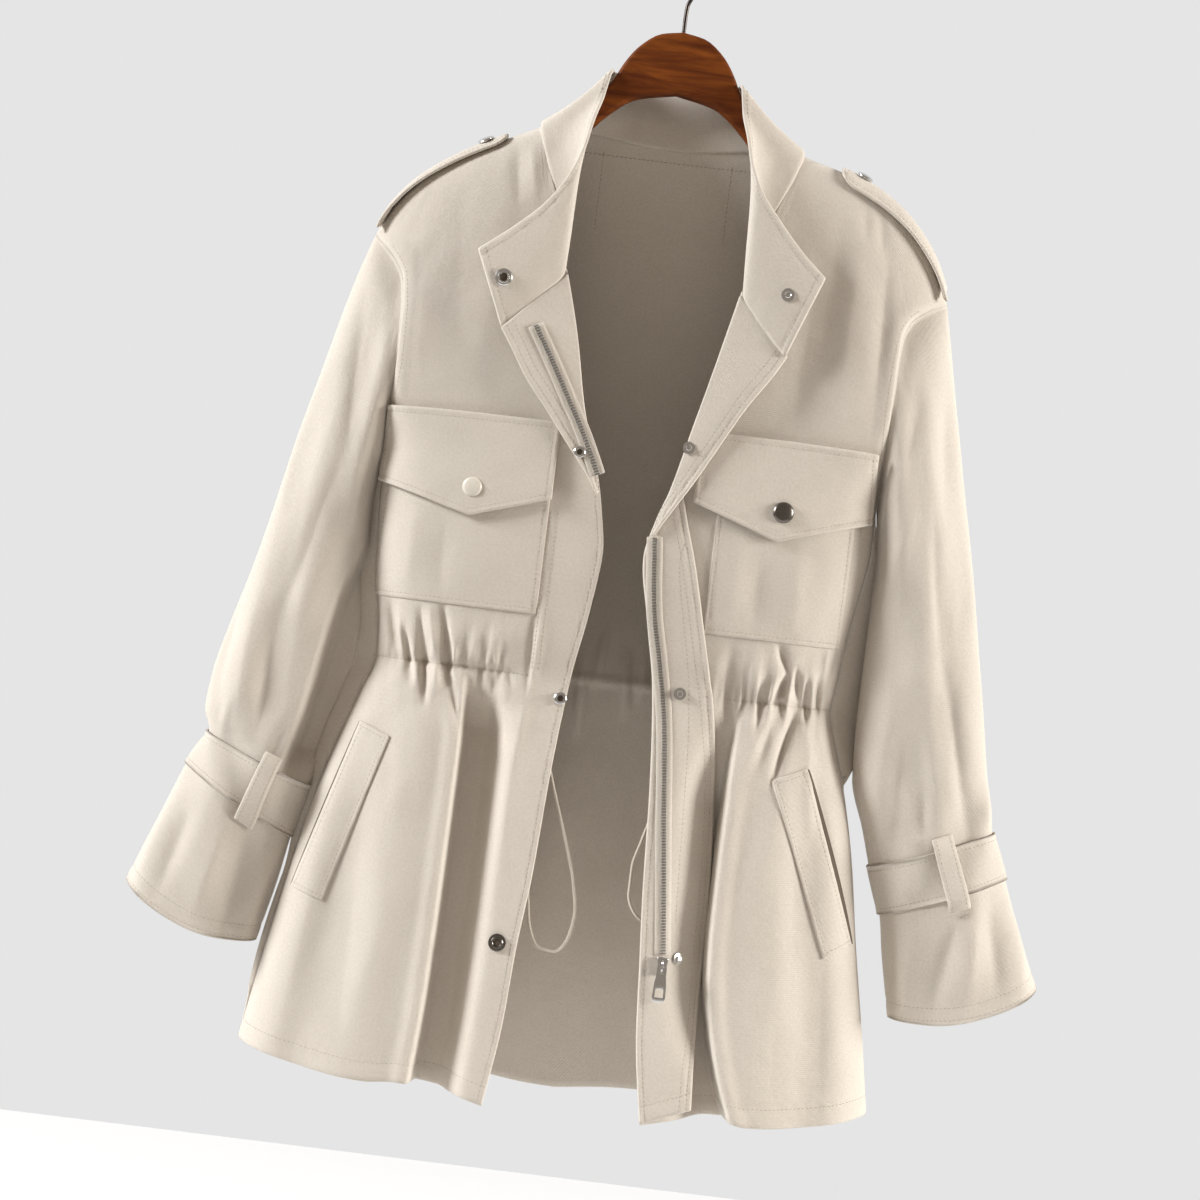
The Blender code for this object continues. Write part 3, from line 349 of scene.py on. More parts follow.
    def arm_depth(self, drop: Array) -> Array:
        """Returns how far the armhole's edge stands from y = 0."""
        t = np.clip((drop - self.arm_top) / (self.arm_foot - self.arm_top), 0, 1)
        return self.arm_half_width * np.maximum(np.sin(np.pi * t), 0) ** (0.7 + 0.7 * t * t)

    def gathers(self, x: Array, drop: Array, side_x: Array) -> Array:
        """Returns the ripple that the waist's drawcord makes, uneven in pitch and depth."""
        reach = np.exp(-(((drop - self.gather_drop) / self.gather_reach) ** 2))
        inner = np.clip((np.abs(x) - self.gather_inner) / self.gather_fade, 0, 1)
        outer = np.clip((side_x - np.abs(x)) / self.gather_fade, 0, 1)
        phase = (x + 0.03 * (drop - self.gather_drop) * np.sin(x)) / self.gather_pitch
        wave = np.cos(math.tau * phase)
        pinch = np.exp(-(((drop - self.gather_drop) / 9.0) ** 2)) * np.cos(math.tau * x / 6.1 + 1.3 * np.sin(x / 9))
        uneven = 1 + 0.45 * np.sin(x / 17.0 + 1) + 0.3 * np.sin(x / 7.3)
        above, below = (
            np.exp(-(((drop - self.gather_drop - away) / width) ** 2)) * (0.6 + 0.4 * np.sin(x / sway + turn))
            for away, width, sway, turn in self.pouches
        )
        return -inner * outer * (reach * uneven * (self.gather_rise * wave + 0.8 * pinch) + self.pouch
            * (above + below))

    def folds(self, x: Array, drop: Array, table: Sequence[Fold]) -> Array:
        """Returns the skirt's folds, inwards where positive."""
        total = np.zeros(np.broadcast(x, drop).shape)
        for fold in table:
            t = np.clip((drop - fold.start) / (self.hem - fold.start), 0, 1.1)
            centre = mix(fold.x_top, fold.x_hem, t)
            total = total + fold.depth * np.minimum(1,
                t * 3.2) * np.exp(-(((x - centre) / (fold.half_width * (1 + 0.5 * t))) ** 2))
        return total

    def body_y(self, face: Face, x: Array, drop: Array) -> Array:
        """Returns y of the coat's outer face.

        Args:
            face: The front or the back.
            x: Places across the coat.
            drop: Places down the coat.

        Returns:
            The y of each place.
        """
        x, drop = np.broadcast_arrays(np.asarray(x, float), np.asarray(drop, float))
        low = np.maximum(drop, self.arm_top)
        side_x = np.where(x < 0, self.side_x(Side.LEFT, low), self.side_x(Side.RIGHT, low))
        rise = np.clip((drop - self.ridge(x)) / self.shoulder_round, 0, 1)
        full = self._depth[face](drop) * np.sqrt(1 - (1 - rise) ** 2)
        across = np.clip(np.abs(x) / side_x, 0, 1)
        edge = np.minimum(self.arm_depth(drop), full)
        round_off = np.sqrt(np.maximum(0, 1 - across**4))
        front = face is Face.FRONT
        relief = self.folds(x, drop, self.front_folds if front else self.back_folds) * round_off
        if front:
            for pleat, line in self._pleats:
                into = pleat.hand * (x - line(drop))
                start = np.clip((drop - pleat.start[0]) / (pleat.start[1] - pleat.start[0]), 0, 1)
                turn = np.clip(into / pleat.sharp, 0, 1)
                relief = relief + pleat.depth * start**1.3 * turn * turn * (3 - 2 * turn) * np.exp(
                    -((np.maximum(into - pleat.sharp - pleat.floor, 0) / pleat.fade) ** 2))
                relief = relief - 2.5 * start * np.exp(-(((into + 5) / 6) ** 2))
        ripple = self.gathers(x, drop, side_x)
        relief = relief + (ripple if front else np.where(np.abs(x) > self.gather_inner, ripple, 0))
        fade = np.minimum(1, rise * 6)
        for crease in self.front_creases if front else self.back_creases:
            relief = relief - crease.relief(x, drop) * fade
        return face.value * (mix(edge, full, round_off) - relief)

    def on_body(self, face: Face, x: Array, drop: Array, lift: Array | float = 0.0) -> tuple[Array, Array]:
        """Returns points that stand `lift` out from the coat's outer face, and their normals."""
        return lifted(lambda a, b: self.body_y(face, a, b), face.value, x, drop, lift)

    def turned_rise(self, side: Side, x: Array, drop: Array) -> Array:
        """Returns how far the turned-out edge has risen off the chest at a place."""
        return self.turned_tilt * np.maximum(0, side.value * (x - self.edge[side](drop)))

    def placket_y(self, x: Array, drop: Array) -> Array:
        """Returns y of the outer face of the right front's zip strip."""
        inner, outer = self.edge[Side.RIGHT](drop), self.placket_edge(drop)
        reach = (np.minimum(outer, self.placket_flat) - inner) / (outer - inner)
        return self.body_y(Face.FRONT, inner + (x - inner) * reach,
            drop) - self.placket_lift * np.clip(0.4 + (drop - 410) / 60, 0, 1) - self.wall

    def on_placket(self, x: Array, drop: Array, lift: Array | float = 0.0) -> tuple[Array, Array]:
        """Returns points that stand `lift` out from the zip strip, and their normals."""
        return lifted(self.placket_y, -1, x, drop, lift)


def lifted(depth: Callable[[Array, Array], Array], facing: int, x: Array, drop: Array,
    lift: Array | float) -> tuple[Array, Array]:
    """Moves places of a surface out along its normal.

    Args:
        depth: Gives y for x and drop.
        facing: The sign of the outward normal's y.
        x: Places across.
        drop: Places down.
        lift: How far out, in millimetres.

    Returns:
        The points and their unit normals, as arrays of (x, y, z).
    """
    x, drop = np.broadcast_arrays(np.asarray(x, float), np.asarray(drop, float))
    step = 1.0
    y = depth(x, drop)
    slope_x = (depth(x + step, drop) - depth(x - step, drop)) / (2 * step)
    slope_z = -(depth(x, drop + step) - depth(x, drop - step)) / (2 * step)
    normal = np.stack([-slope_x, np.ones_like(y), -slope_z], -1) * facing
    normal /= np.linalg.norm(normal, axis=-1, keepdims=True)
    return np.stack([x, y, -drop], -1) + normal * np.asarray(lift)[..., None], normal


# ------------------------------------------------------------------ finishes
@dataclass(frozen=True)
class Finish:
    """A material's named values."""

    name: str
    colour: tuple[float, float, float]
    roughness: float
    metallic: float = 0.0


def set_inputs(node: bpy.types.Node, values: dict) -> None:
    """Sets a node's unlinked inputs.

    Args:
        node: The node.
        values: Each input's name and its value.
    """
    for name, value in values.items():
        node.inputs[name].default_value = value


class Twill:
    """The coat's cotton twill: a diagonal weave, slight slubs and soft mottling."""

    def __init__(self, name: str, colour: tuple[float, float, float], shade: tuple[float, float, float]) -> None:
        """Makes the material.

        Args:
            name: The material's name.
            colour: The cloth's lit tone.
            shade: The tone that its mottling reaches.
        """
        self.material = bpy.data.materials.new(name)
        self.material.use_nodes = True
        tree = self.material.node_tree
        shader = tree.nodes["Principled BSDF"]
        set_inputs(shader, {"Roughness": 0.95, "Specular IOR Level": 0.1, "Sheen Weight": 0.12,
            "Sheen Roughness": 0.6})
        uv = tree.nodes.new("ShaderNodeUVMap")
        uv.uv_map = "weave"
        weave = tree.nodes.new("ShaderNodeGroup")
        weave.node_tree = weave_group()
        weave.inputs["Pitch"].default_value = 0.0011
        tree.links.new(uv.outputs["UV"], weave.inputs["Place"])
        mottle = tree.nodes.new("ShaderNodeGroup")
        mottle.node_tree = mottle_group()
        tree.links.new(uv.outputs["UV"], mottle.inputs["Place"])
        tint = tree.nodes.new("ShaderNodeMix")
        tint.data_type = "RGBA"
        set_inputs(tint, {"A": (*colour, 1), "B": (*shade, 1)})
        tree.links.new(mottle.outputs["Mask"], tint.inputs["Factor"])
        thread = tree.nodes.new("ShaderNodeMix")
        thread.data_type = "RGBA"
        thread.blend_type = "MULTIPLY"
        thread.inputs["Factor"].default_value = 0.16
        tree.links.new(tint.outputs["Result"], thread.inputs["A"])
        tree.links.new(weave.outputs["Tone"], thread.inputs["B"])
        tree.links.new(thread.outputs["Result"], shader.inputs["Base Color"])
        bump = tree.nodes.new("ShaderNodeBump")
        set_inputs(bump, {"Strength": 0.35, "Distance": 0.0002})
        tree.links.new(weave.outputs["Height"], bump.inputs["Height"])
        crumple = tree.nodes.new("ShaderNodeBump")
        set_inputs(crumple, {"Strength": 0.5, "Distance": 0.0026})
        tree.links.new(mottle.outputs["Crumple"], crumple.inputs["Height"])
        tree.links.new(crumple.outputs["Normal"], bump.inputs["Normal"])
        tree.links.new(bump.outputs["Normal"], shader.inputs["Normal"])


def new_group(name: str, inputs: Sequence[tuple[str, str]], outputs: Sequence[tuple[str, str]]) -> bpy.types.NodeTree:
    """Makes an empty node group with named sockets.

    Args:
        name: The group's name.
        inputs: Each input's name and socket type.
        outputs: Each output's name and socket type.

    Returns:
        The group, with its input and output nodes added as "in" and "out".
    """
    group = bpy.data.node_groups.new(name, "ShaderNodeTree")
    for label, kind in inputs:
        group.interface.new_socket(label, in_out="INPUT", socket_type=kind)
    for label, kind in outputs:
        group.interface.new_socket(label, in_out="OUTPUT", socket_type=kind)
    group.nodes.new("NodeGroupInput").name = "in"
    group.nodes.new("NodeGroupOutput").name = "out"
    return group


def math_node(tree: bpy.types.NodeTree, operation: str,
    *values: bpy.types.NodeSocket | float) -> bpy.types.NodeSocket:
    """Adds a Math node fed by sockets or plain numbers and returns its output."""
    node = tree.nodes.new("ShaderNodeMath")
    node.operation = operation
    for slot, value in zip(node.inputs, values):
        if isinstance(value, bpy.types.NodeSocket):
            tree.links.new(value, slot)
        else:
            slot.default_value = value
    return node.outputs[0]


def weave_group() -> bpy.types.NodeTree:
    """Returns the shared group that draws a twill's diagonal ribs on a flat cut in metres."""
    found = bpy.data.node_groups.get("twill weave")
    if found:
        return found
    group = new_group("twill weave", [("Place", "NodeSocketVector"), ("Pitch", "NodeSocketFloat")],
        [("Height", "NodeSocketFloat"), ("Tone", "NodeSocketColor")])
    split = group.nodes.new("ShaderNodeSeparateXYZ")
    group.links.new(group.nodes["in"].outputs["Place"], split.inputs[0])
    pitch = group.nodes["in"].outputs["Pitch"]
    slant = math_node(group, "ADD", split.outputs["X"], math_node(group, "MULTIPLY", split.outputs["Y"], 0.55))
    rib = math_node(group, "SINE", math_node(group, "MULTIPLY", math_node(group, "DIVIDE", slant, pitch), math.tau))
    warp = math_node(group, "SINE", math_node(group, "MULTIPLY",
        math_node(group, "DIVIDE", split.outputs["Y"], pitch), math.tau * 0.8))
    height = math_node(group, "ADD", rib, math_node(group, "MULTIPLY", warp, 0.35))
    group.links.new(height, group.nodes["out"].inputs["Height"])
    ramp = group.nodes.new("ShaderNodeMapRange")
    set_inputs(ramp, {"From Min": -1.3, "From Max": 1.3, "To Min": 0.62, "To Max": 1.0})
    group.links.new(height, ramp.inputs["Value"])
    group.links.new(ramp.outputs["Result"], group.nodes["out"].inputs["Tone"])
    return group


def mottle_group() -> bpy.types.NodeTree:
    """Returns the shared group of broad, soft unevenness in worn cloth."""
    found = bpy.data.node_groups.get("cloth mottle")
    if found:
        return found
    group = new_group("cloth mottle", [("Place", "NodeSocketVector")],
        [("Mask", "NodeSocketFloat"), ("Crumple", "NodeSocketFloat")])
    place = group.nodes["in"].outputs["Place"]
    broad = group.nodes.new("ShaderNodeTexNoise")
    set_inputs(broad, {"Scale": 14, "Detail": 3})
    group.links.new(place, broad.inputs["Vector"])
    slub = group.nodes.new("ShaderNodeTexNoise")
    set_inputs(slub, {"Scale": 520, "Detail": 2})
    group.links.new(place, slub.inputs["Vector"])
    speckle = math_node(group, "MULTIPLY", math_node(group, "SUBTRACT", slub.outputs["Fac"], 0.5), 1.6)
    mask = math_node(group, "ADD", math_node(group, "MULTIPLY", broad.outputs["Fac"], 0.6), speckle)
    group.links.new(mask, group.nodes["out"].inputs["Mask"])
    fine = group.nodes.new("ShaderNodeTexNoise")
    set_inputs(fine, {"Scale": 34, "Detail": 4, "Roughness": 0.45})
    group.links.new(place, fine.inputs["Vector"])
    group.links.new(fine.outputs["Fac"], group.nodes["out"].inputs["Crumple"])
    return group


class Smooth:
    """A smooth finish, a little uneven: metal, enamel, thread or wire."""

    def __init__(self, finish: Finish) -> None:
        """Makes the material from its named values."""
        self.material = bpy.data.materials.new(finish.name)
        self.material.use_nodes = True
        tree = self.material.node_tree
        shader = tree.nodes["Principled BSDF"]
        shader.inputs["Metallic"].default_value = finish.metallic
        place = tree.nodes.new("ShaderNodeTexCoord")
        noise = tree.nodes.new("ShaderNodeTexNoise")
        set_inputs(noise, {"Scale": 900, "Detail": 3})
        tree.links.new(place.outputs["Object"], noise.inputs["Vector"])
        tint = tree.nodes.new("ShaderNodeMix")
        tint.data_type = "RGBA"
        set_inputs(tint, {"A": (*(c * 0.75 for c in finish.colour), 1), "B": (*finish.colour, 1)})
        tree.links.new(noise.outputs["Fac"], tint.inputs["Factor"])
        tree.links.new(tint.outputs["Result"], shader.inputs["Base Color"])
        rough = tree.nodes.new("ShaderNodeMapRange")
        set_inputs(rough, {"To Min": finish.roughness * 0.7, "To Max": finish.roughness * 1.3})
        tree.links.new(noise.outputs["Fac"], rough.inputs["Value"])
        tree.links.new(rough.outputs["Result"], shader.inputs["Roughness"])


class Varnished:
    """The hanger's dark red wood, with grain that runs along the yoke under varnish."""

    def __init__(self) -> None:
        """Makes the material."""
        self.material = bpy.data.materials.new("varnished wood")
        self.material.use_nodes = True
        tree = self.material.node_tree
        shader = tree.nodes["Principled BSDF"]
        set_inputs(shader, {"Coat Weight": 0.06, "Coat Roughness": 0.2, "Roughness": 0.5, "Specular IOR Level": 0.12})
        place = tree.nodes.new("ShaderNodeTexCoord")
        turn = tree.nodes.new("ShaderNodeMapping")
        set_inputs(turn, {"Rotation": (0, math.radians(-24), 0), "Scale": (9, 60, 75)})
        tree.links.new(place.outputs["Object"], turn.inputs["Vector"])
        grain = tree.nodes.new("ShaderNodeTexNoise")
        set_inputs(grain, {"Scale": 1.6, "Detail": 7, "Roughness": 0.62, "Distortion": 0.6})
        tree.links.new(turn.outputs["Vector"], grain.inputs["Vector"])
        ramp = tree.nodes.new("ShaderNodeValToRGB")
        stops = ramp.color_ramp.elements
        stops[0].position, stops[0].color = 0.36, (0.085, 0.018, 0.003, 1)
        stops[1].position, stops[1].color = 0.66, (0.22, 0.058, 0.008, 1)
        stops.new(0.5).color = (0.14, 0.034, 0.005, 1)
        tree.links.new(grain.outputs["Fac"], ramp.inputs["Fac"])
        tree.links.new(ramp.outputs["Color"], shader.inputs["Base Color"])
        bump = tree.nodes.new("ShaderNodeBump")
        set_inputs(bump, {"Strength": 0.12, "Distance": 0.0004})
        tree.links.new(grain.outputs["Fac"], bump.inputs["Height"])
        tree.links.new(bump.outputs["Normal"], shader.inputs["Normal"])


# -------------------------------------------------------------- mesh makers
class Panel:
    """A piece of cloth and the grid of points of its outer face."""

    def __init__(self, obj: bpy.types.Object, grid: Array, normals: Array) -> None:
        """Keeps a cloth's surface for what is sewn on it.

        Args:
            obj: The cloth's object.
            grid: Points (rows, columns, 3) of its outer face, in millimetres.
            normals: The unit normal at each point.
        """
        self.obj, self.grid, self.normals = obj, grid, normals
        self.flat = (self.length(1), self.length(0))

    def length(self, axis: int) -> float:
        """Returns the grid's mean length along an axis, in metres."""
        return float(np.linalg.norm(np.diff(self.grid, axis=axis), axis=-1).sum(axis).mean()) * MM

    def sample(self, rows: Array, columns: Array) -> tuple[Array, Array]:
        """Returns the points and normals at fractional rows and columns."""
        rows, columns = np.broadcast_arrays(np.clip(rows, 0, self.grid.shape[0] - 1),
            np.clip(columns, 0, self.grid.shape[1] - 1))
        r, c = np.minimum(rows.astype(int), self.grid.shape[0] - 2), np.minimum(columns.astype(int),
            self.grid.shape[1] - 2)
        v, u = (rows - r)[..., None], (columns - c)[..., None]
        found = [mix(mix(t[r, c], t[r, c + 1], u), mix(t[r + 1, c], t[r + 1, c + 1], u), v) for t in (self.grid,
            self.normals)]
        return found[0], found[1] / np.linalg.norm(found[1], axis=-1, keepdims=True)

    def inset(self, edge: str, distance: float, start: float = 0.0, stop: float = 1.0) -> tuple[Array, Array]:
        """Returns the line that runs a distance in from one edge.

        Args:
            edge: top, foot, left or right, as seen from outside.
            distance: How far in, in millimetres.
            start: Where the line starts, as a fraction of the edge.
            stop: Where it stops.

        Returns:
            Its points and normals.
        """
        axis = 0 if edge in ("top", "foot") else 1
        flip = edge in ("foot", "right")
        grid = np.flip(self.grid, axis) if flip else self.grid
        if axis == 1:
            grid = grid.transpose(1, 0, 2)
        run = np.cumsum(np.linalg.norm(np.diff(grid, axis=0), axis=-1), 0)
        run = np.concatenate([np.zeros((1, run.shape[1])), run])
        keys = np.arange(grid.shape[0])
        depth = np.array([np.interp(distance, run[:, i], keys) for i in range(run.shape[1])])
        if flip:
            depth = grid.shape[0] - 1 - depth
        count = self.grid.shape[1 - axis] - 1
        place = np.linspace(start * count, stop * count, 2 * count)
        depth = np.interp(place, np.arange(count + 1), depth)
        return self.sample(depth, place) if axis == 0 else self.sample(place, depth)


class Workshop:
    """Makes meshes, dresses them, hangs them on the frame's bodies and hides the frame's parts that they stand in
    for.
    """

    def __init__(self) -> None:
        """Makes the coat's finishes."""
        self.twill = Twill("twill", (0.68, 0.622, 0.548), (0.585, 0.52, 0.44)).material
        # The inside twill is the same cloth painted paler: painted light where the coat's inside shows.
        self.inner = Twill("twill inside painted paler", (0.86, 0.80, 0.72), (0.78, 0.71, 0.63)).material
        # Thread darker than the cloth paints the shade along the stitch lines.
        self.thread = Smooth(Finish("thread", (0.50, 0.43, 0.34), 0.8)).material
        # Near-black cloth laid in the pocket openings and the sockets' middles: painted shade for those hollows.
        self.shade = Twill("painted hollow shade", (0.13, 0.10, 0.075), (0.10, 0.075, 0.055)).material
        self.cord = Twill("cord braid", (0.62, 0.56, 0.48), (0.52, 0.46, 0.38)).material
        self.steel = Smooth(Finish("snap metal", (0.78, 0.77, 0.75), 0.22, 1.0)).material
        # The zip's teeth take a darker copy of the snap metal: painted shade for the gaps among the teeth.
        self.zip_metal = Smooth(Finish("zip metal painted darker", (0.46, 0.45, 0.43), 0.3, 1.0)).material
        self.dark_steel = Smooth(Finish("dark metal", (0.20, 0.18, 0.16), 0.3, 1.0)).material
        self.cap = Smooth(Finish("cap enamel", (0.80, 0.74, 0.64), 0.35)).material
        self.wood = Varnished().material
        self.wire = Smooth(Finish("hook wire", (0.06, 0.05, 0.045), 0.32, 0.9)).material
        self.made: list[str] = []

    def register(self, obj: bpy.types.Object, materials: Sequence[bpy.types.Material], slot: str,
        nodes: Sequence[str] = (), body: str = BODY) -> bpy.types.Object:
        """Dresses a piece and gives it to the frame.

        Args:
            obj: The piece, its place in its mesh.
            materials: Its materials, in the order of its faces' numbers.
            slot: Not used.
            nodes: The frame's nodes that it stands in for.
            body: The body that it rides on.

        Returns:
            The piece.
        """
        obj.data.materials.clear()
        for material in materials:
            obj.data.materials.append(material)
        if obj.name not in bpy.context.scene.collection.all_objects:
            bpy.context.scene.collection.objects.link(obj)
        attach(obj, body)
        if nodes:
            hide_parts(*nodes)
        self.made.append(obj.name)
        log.info("%s: %d faces", obj.name, len(obj.data.polygons) if obj.type == "MESH" else 0)
        return obj

    def mesh(self, name: str, points: Array, faces: Sequence[Sequence[int]], uv: Array | None = None,
        numbers: Array | None = None) -> bpy.types.Object:
        """Makes a smooth mesh object from points in millimetres."""
        data = bpy.data.meshes.new(name)
        data.from_pydata((np.asarray(points, float) * MM).tolist(), [], [list(map(int, f)) for f in faces])
        if uv is not None:
            layer = data.uv_layers.new(name="weave")
            index = np.empty(len(data.loops), np.int32)
            data.loops.foreach_get("vertex_index", index)
            layer.data.foreach_set("uv", np.asarray(uv, np.float32)[index].ravel())
        if numbers is not None:
            data.polygons.foreach_set("material_index", np.asarray(numbers, np.int32))
        data.shade_smooth()
        return bpy.data.objects.new(name, data)

    def cloth(self, name: str, grid: Array, wall: float, ring: bool = False, nodes: Sequence[str] = (),
        lining: bool = True, centred: bool = False, held: str = "hung", rests_on: Sequence[str] = ("hanger_yoke",),
        grooves: Sequence[tuple[str, float]] = ()) -> Panel:
        """Makes a wall of cloth with half-round edges.

        Args:
            name: The piece's name.
            grid: Points (rows, columns, 3) of its outer face, rows down and columns to the right seen from outside.
            wall: Its thickness.
            ring: Whether each row closes on itself.
            nodes: The frame's nodes that it replaces.
            lining: Whether its inner face takes the paler inside twill, painted light for the inside of the coat.
            centred: Whether the grid is the wall's middle.
            held: Not used.
            rests_on: Not used.
            grooves: The edges along which a seam sinks into it, and how far in.

        Returns:
            The piece and its surface.
        """
        rows, columns = grid.shape[:2]
        if grooves:
            grid = sunk(grid, ring, grooves)
        if ring:
            across = np.roll(grid, -1, 1) - np.roll(grid, 1, 1)
        else:
            across = np.gradient(grid, axis=1)
        down = np.gradient(grid, axis=0)
        normal = np.cross(down, across)
        normal /= np.maximum(np.linalg.norm(normal, axis=-1, keepdims=True), 1e-9)
        if centred:
            grid = grid + normal * wall / 2
        inner = grid - normal * wall
        middle = grid - normal * wall / 2
        layers = [grid.reshape(-1, 3), inner.reshape(-1, 3)]
        step_u = np.linalg.norm(np.diff(grid, axis=1), axis=-1)
        step_v = np.linalg.norm(np.diff(grid, axis=0), axis=-1)
        u = np.concatenate([np.zeros((rows, 1)), np.cumsum(step_u, 1)], 1)
        u -= u[:, columns // 2 : columns // 2 + 1]
        v = np.concatenate([np.zeros((1, columns)), np.cumsum(step_v, 0)], 0)
        v = np.broadcast_to(v.mean(1, keepdims=True), v.shape)
        uv = np.stack([u, v], -1).reshape(-1, 2) * MM
        index = np.arange(rows * columns).reshape(rows, columns)
        right = np.roll(index, -1, 1) if ring else index[:, 1:]
        left = index if ring else index[:, :-1]
        outer = np.stack([left[:-1], left[1:], right[1:], right[:-1]], -1).reshape(-1, 4)
        faces = [outer, outer[:, ::-1] + rows * columns]
        numbers = [np.zeros(len(outer), int), np.full(len(outer), 1 if lining else 0)]
        border = []
        if ring:
            border = [(index[0], -down[0]), (index[-1][::-1], down[-1][::-1])]
        else:
            loop = np.concatenate([index[0, ::-1], index[1:, 0], index[-1, 1:], index[-2:0:-1, -1]])
            push = np.zeros_like(grid)
            for where, way in (((0, slice(None)), -down[0]), ((-1, slice(None)), down[-1]),
                ((slice(None), 0), -across[:, 0]), ((slice(None), -1), across[:, -1])):
                push[where] += way / np.maximum(np.linalg.norm(way, axis=-1, keepdims=True), 1e-9)
            border = [(loop, push.reshape(-1, 3)[loop])]
        base = 2 * rows * columns
        uvs = [uv, uv]
        for loop, push in border:
            push = push / np.maximum(np.linalg.norm(push, axis=-1, keepdims=True), 1e-9)
            rim = middle.reshape(-1, 3)[loop] + push * wall * 0.42
            layers.append(rim)
            uvs.append(uv[loop])
            own = np.arange(len(loop)) + base
            base += len(loop)
            after, own_after = np.roll(loop, -1), np.roll(own, -1)
            faces.append(np.stack([after, own_after, own, loop], -1)[:, ::-1])
            faces.append(np.stack([own_after, after + rows * columns, loop + rows * columns, own], -1)[:, ::-1])
            numbers += [np.zeros(len(loop), int), np.zeros(len(loop), int)]
        obj = self.mesh(name, np.concatenate(layers), np.concatenate(faces), np.concatenate(uvs),
            np.concatenate(numbers))
        outward(obj)
        # Lined pieces show the paler inside twill on their inner face, which is painted light.
        self.register(obj, [self.twill, self.inner], "twill", nodes)
        panel = Panel(obj, np.concatenate([grid, grid[:, :1]], 1) if ring else grid,
            np.concatenate([normal, normal[:, :1]], 1) if ring else normal)
        return panel

    def stitches(self, name: str, lines: Sequence[tuple[Array, Array]], pitch: float = 3.3, length: float = 2.8,
        width: float = 0.55) -> bpy.types.Object:
        """Makes rows of raised stitches.

        Args:
            name: The piece's name.
            lines: Each row's points and normals.
            pitch: From one stitch to the next.
            length: One stitch's length.
            width: One stitch's width.

        Returns:
            The joined stitches.
        """
        corners = np.array([(-0.5, 0, 0), (0, 0.5, 0), (0.5, 0, 0), (0, -0.5, 0), (0, 0, 0.42), (0, 0, -0.42)])
        shape = [(0, 1, 4), (1, 2, 4), (2, 3, 4), (3, 0, 4), (1, 0, 5), (2, 1, 5), (3, 2, 5), (0, 3, 5)]
        points, faces = [], []
        for line, normals in lines:
            run = np.concatenate([[0], np.cumsum(np.linalg.norm(np.diff(line, axis=0), axis=1))])
            for at in np.arange(pitch / 2, run[-1], pitch):
                place, ahead, normal = (np.array([np.interp(s, run, c) for c in table.T]) for s,
                    table in ((at, line), (at + 0.5, line), (at, normals)))
                way = ahead - place
                if np.linalg.norm(way) < 1e-6:
                    continue
                way /= np.linalg.norm(way)
                normal /= np.linalg.norm(normal)
                cross = np.cross(normal, way)
                block = place + corners[:, :1] * length * way + corners[:, 1:2] * width * cross + corners[:,
                    2:] * width * normal
                faces += [tuple(len(points) * 6 + i for i in f) for f in shape]
                points.append(block)
        obj = self.mesh(name, np.concatenate(points), faces)
        return self.register(obj, [self.thread], "twill")


def sunk(grid: Array, ring: bool, grooves: Sequence[tuple[str, float]]) -> Array:
    """Sinks stitched seams into a cloth's outer face and swells the edges beyond them.

    Args:
        grid: Points (rows, columns, 3).
        ring: Whether each row closes on itself.
        grooves: The edges that they follow, and how far in.

    Returns:
        The moved points.
    """
    across = np.roll(grid, -1, 1) - np.roll(grid, 1, 1) if ring else np.gradient(grid, axis=1)
    normal = np.cross(np.gradient(grid, axis=0), across)
    normal /= np.maximum(np.linalg.norm(normal, axis=-1, keepdims=True), 1e-9)
    down = np.concatenate([np.zeros((1, grid.shape[1])),
        np.cumsum(np.linalg.norm(np.diff(grid, axis=0), axis=-1), 0)])
    over = np.concatenate([np.zeros((grid.shape[0], 1)),
        np.cumsum(np.linalg.norm(np.diff(grid, axis=1), axis=-1), 1)], 1)
    reach = {"top": down, "foot": down[-1:] - down, "left": over, "right": over[:, -1:] - over}
    run = {"top": over, "foot": over, "left": down, "right": down}
    relief = np.zeros(grid.shape[:2])
    for edge, inset in grooves:
        pucker = 1 + 0.45 * np.sin(run[edge] / 1.9 + 2 * np.sin(run[edge] / 13)) + 0.3 * np.sin(run[edge] / 4.3)
        relief -= 0.42 * pucker * np.exp(-(((reach[edge] - inset) / 1.5) ** 2))
        relief += 0.22 * np.exp(-(((reach[edge] - inset / 2) / (inset / 2.4)) ** 2))
    return grid + normal * relief[..., None]


def outward(obj: bpy.types.Object) -> None:
    """Turns a closed mesh's faces outwards where its volume says that they face in."""
    data = obj.data
    data.calc_loop_triangles()
    points = np.array([v.co for v in data.vertices])
    index = np.array([t.vertices for t in data.loop_triangles])
    corners = points[index]
    volume = np.einsum("ij,ij->i", corners[:, 0], np.cross(corners[:, 1], corners[:, 2])).sum()
    if volume < 0:
        data.flip_normals()


def grid_faces(rows: int, columns: int) -> list[tuple[int, int, int, int]]:
    """Returns the faces of a plain grid of points, rows downwards and columns to the right."""
    index = np.arange(rows * columns).reshape(rows, columns)
    return [tuple(f) for f in np.stack([index[:-1, :-1], index[1:, :-1], index[1:, 1:], index[:-1, 1:]],
        -1).reshape(-1, 4)]


def deselect() -> None:
    """Leaves edit mode and deselects everything."""
    if bpy.context.object and bpy.context.object.mode != "OBJECT":
        bpy.ops.object.mode_set(mode="OBJECT")
    bpy.ops.object.select_all(action="DESELECT")


def place_on(obj: bpy.types.Object, centre: Sequence[float], normal: Sequence[float]) -> None:
    """Moves a piece's mesh so that its +Z points along a normal from a centre in millimetres."""
    turn = Vector(normal).to_track_quat("Z", "Y").to_matrix().to_4x4()
    obj.data.transform(Matrix.Translation(Vector(centre) * MM) @ turn)


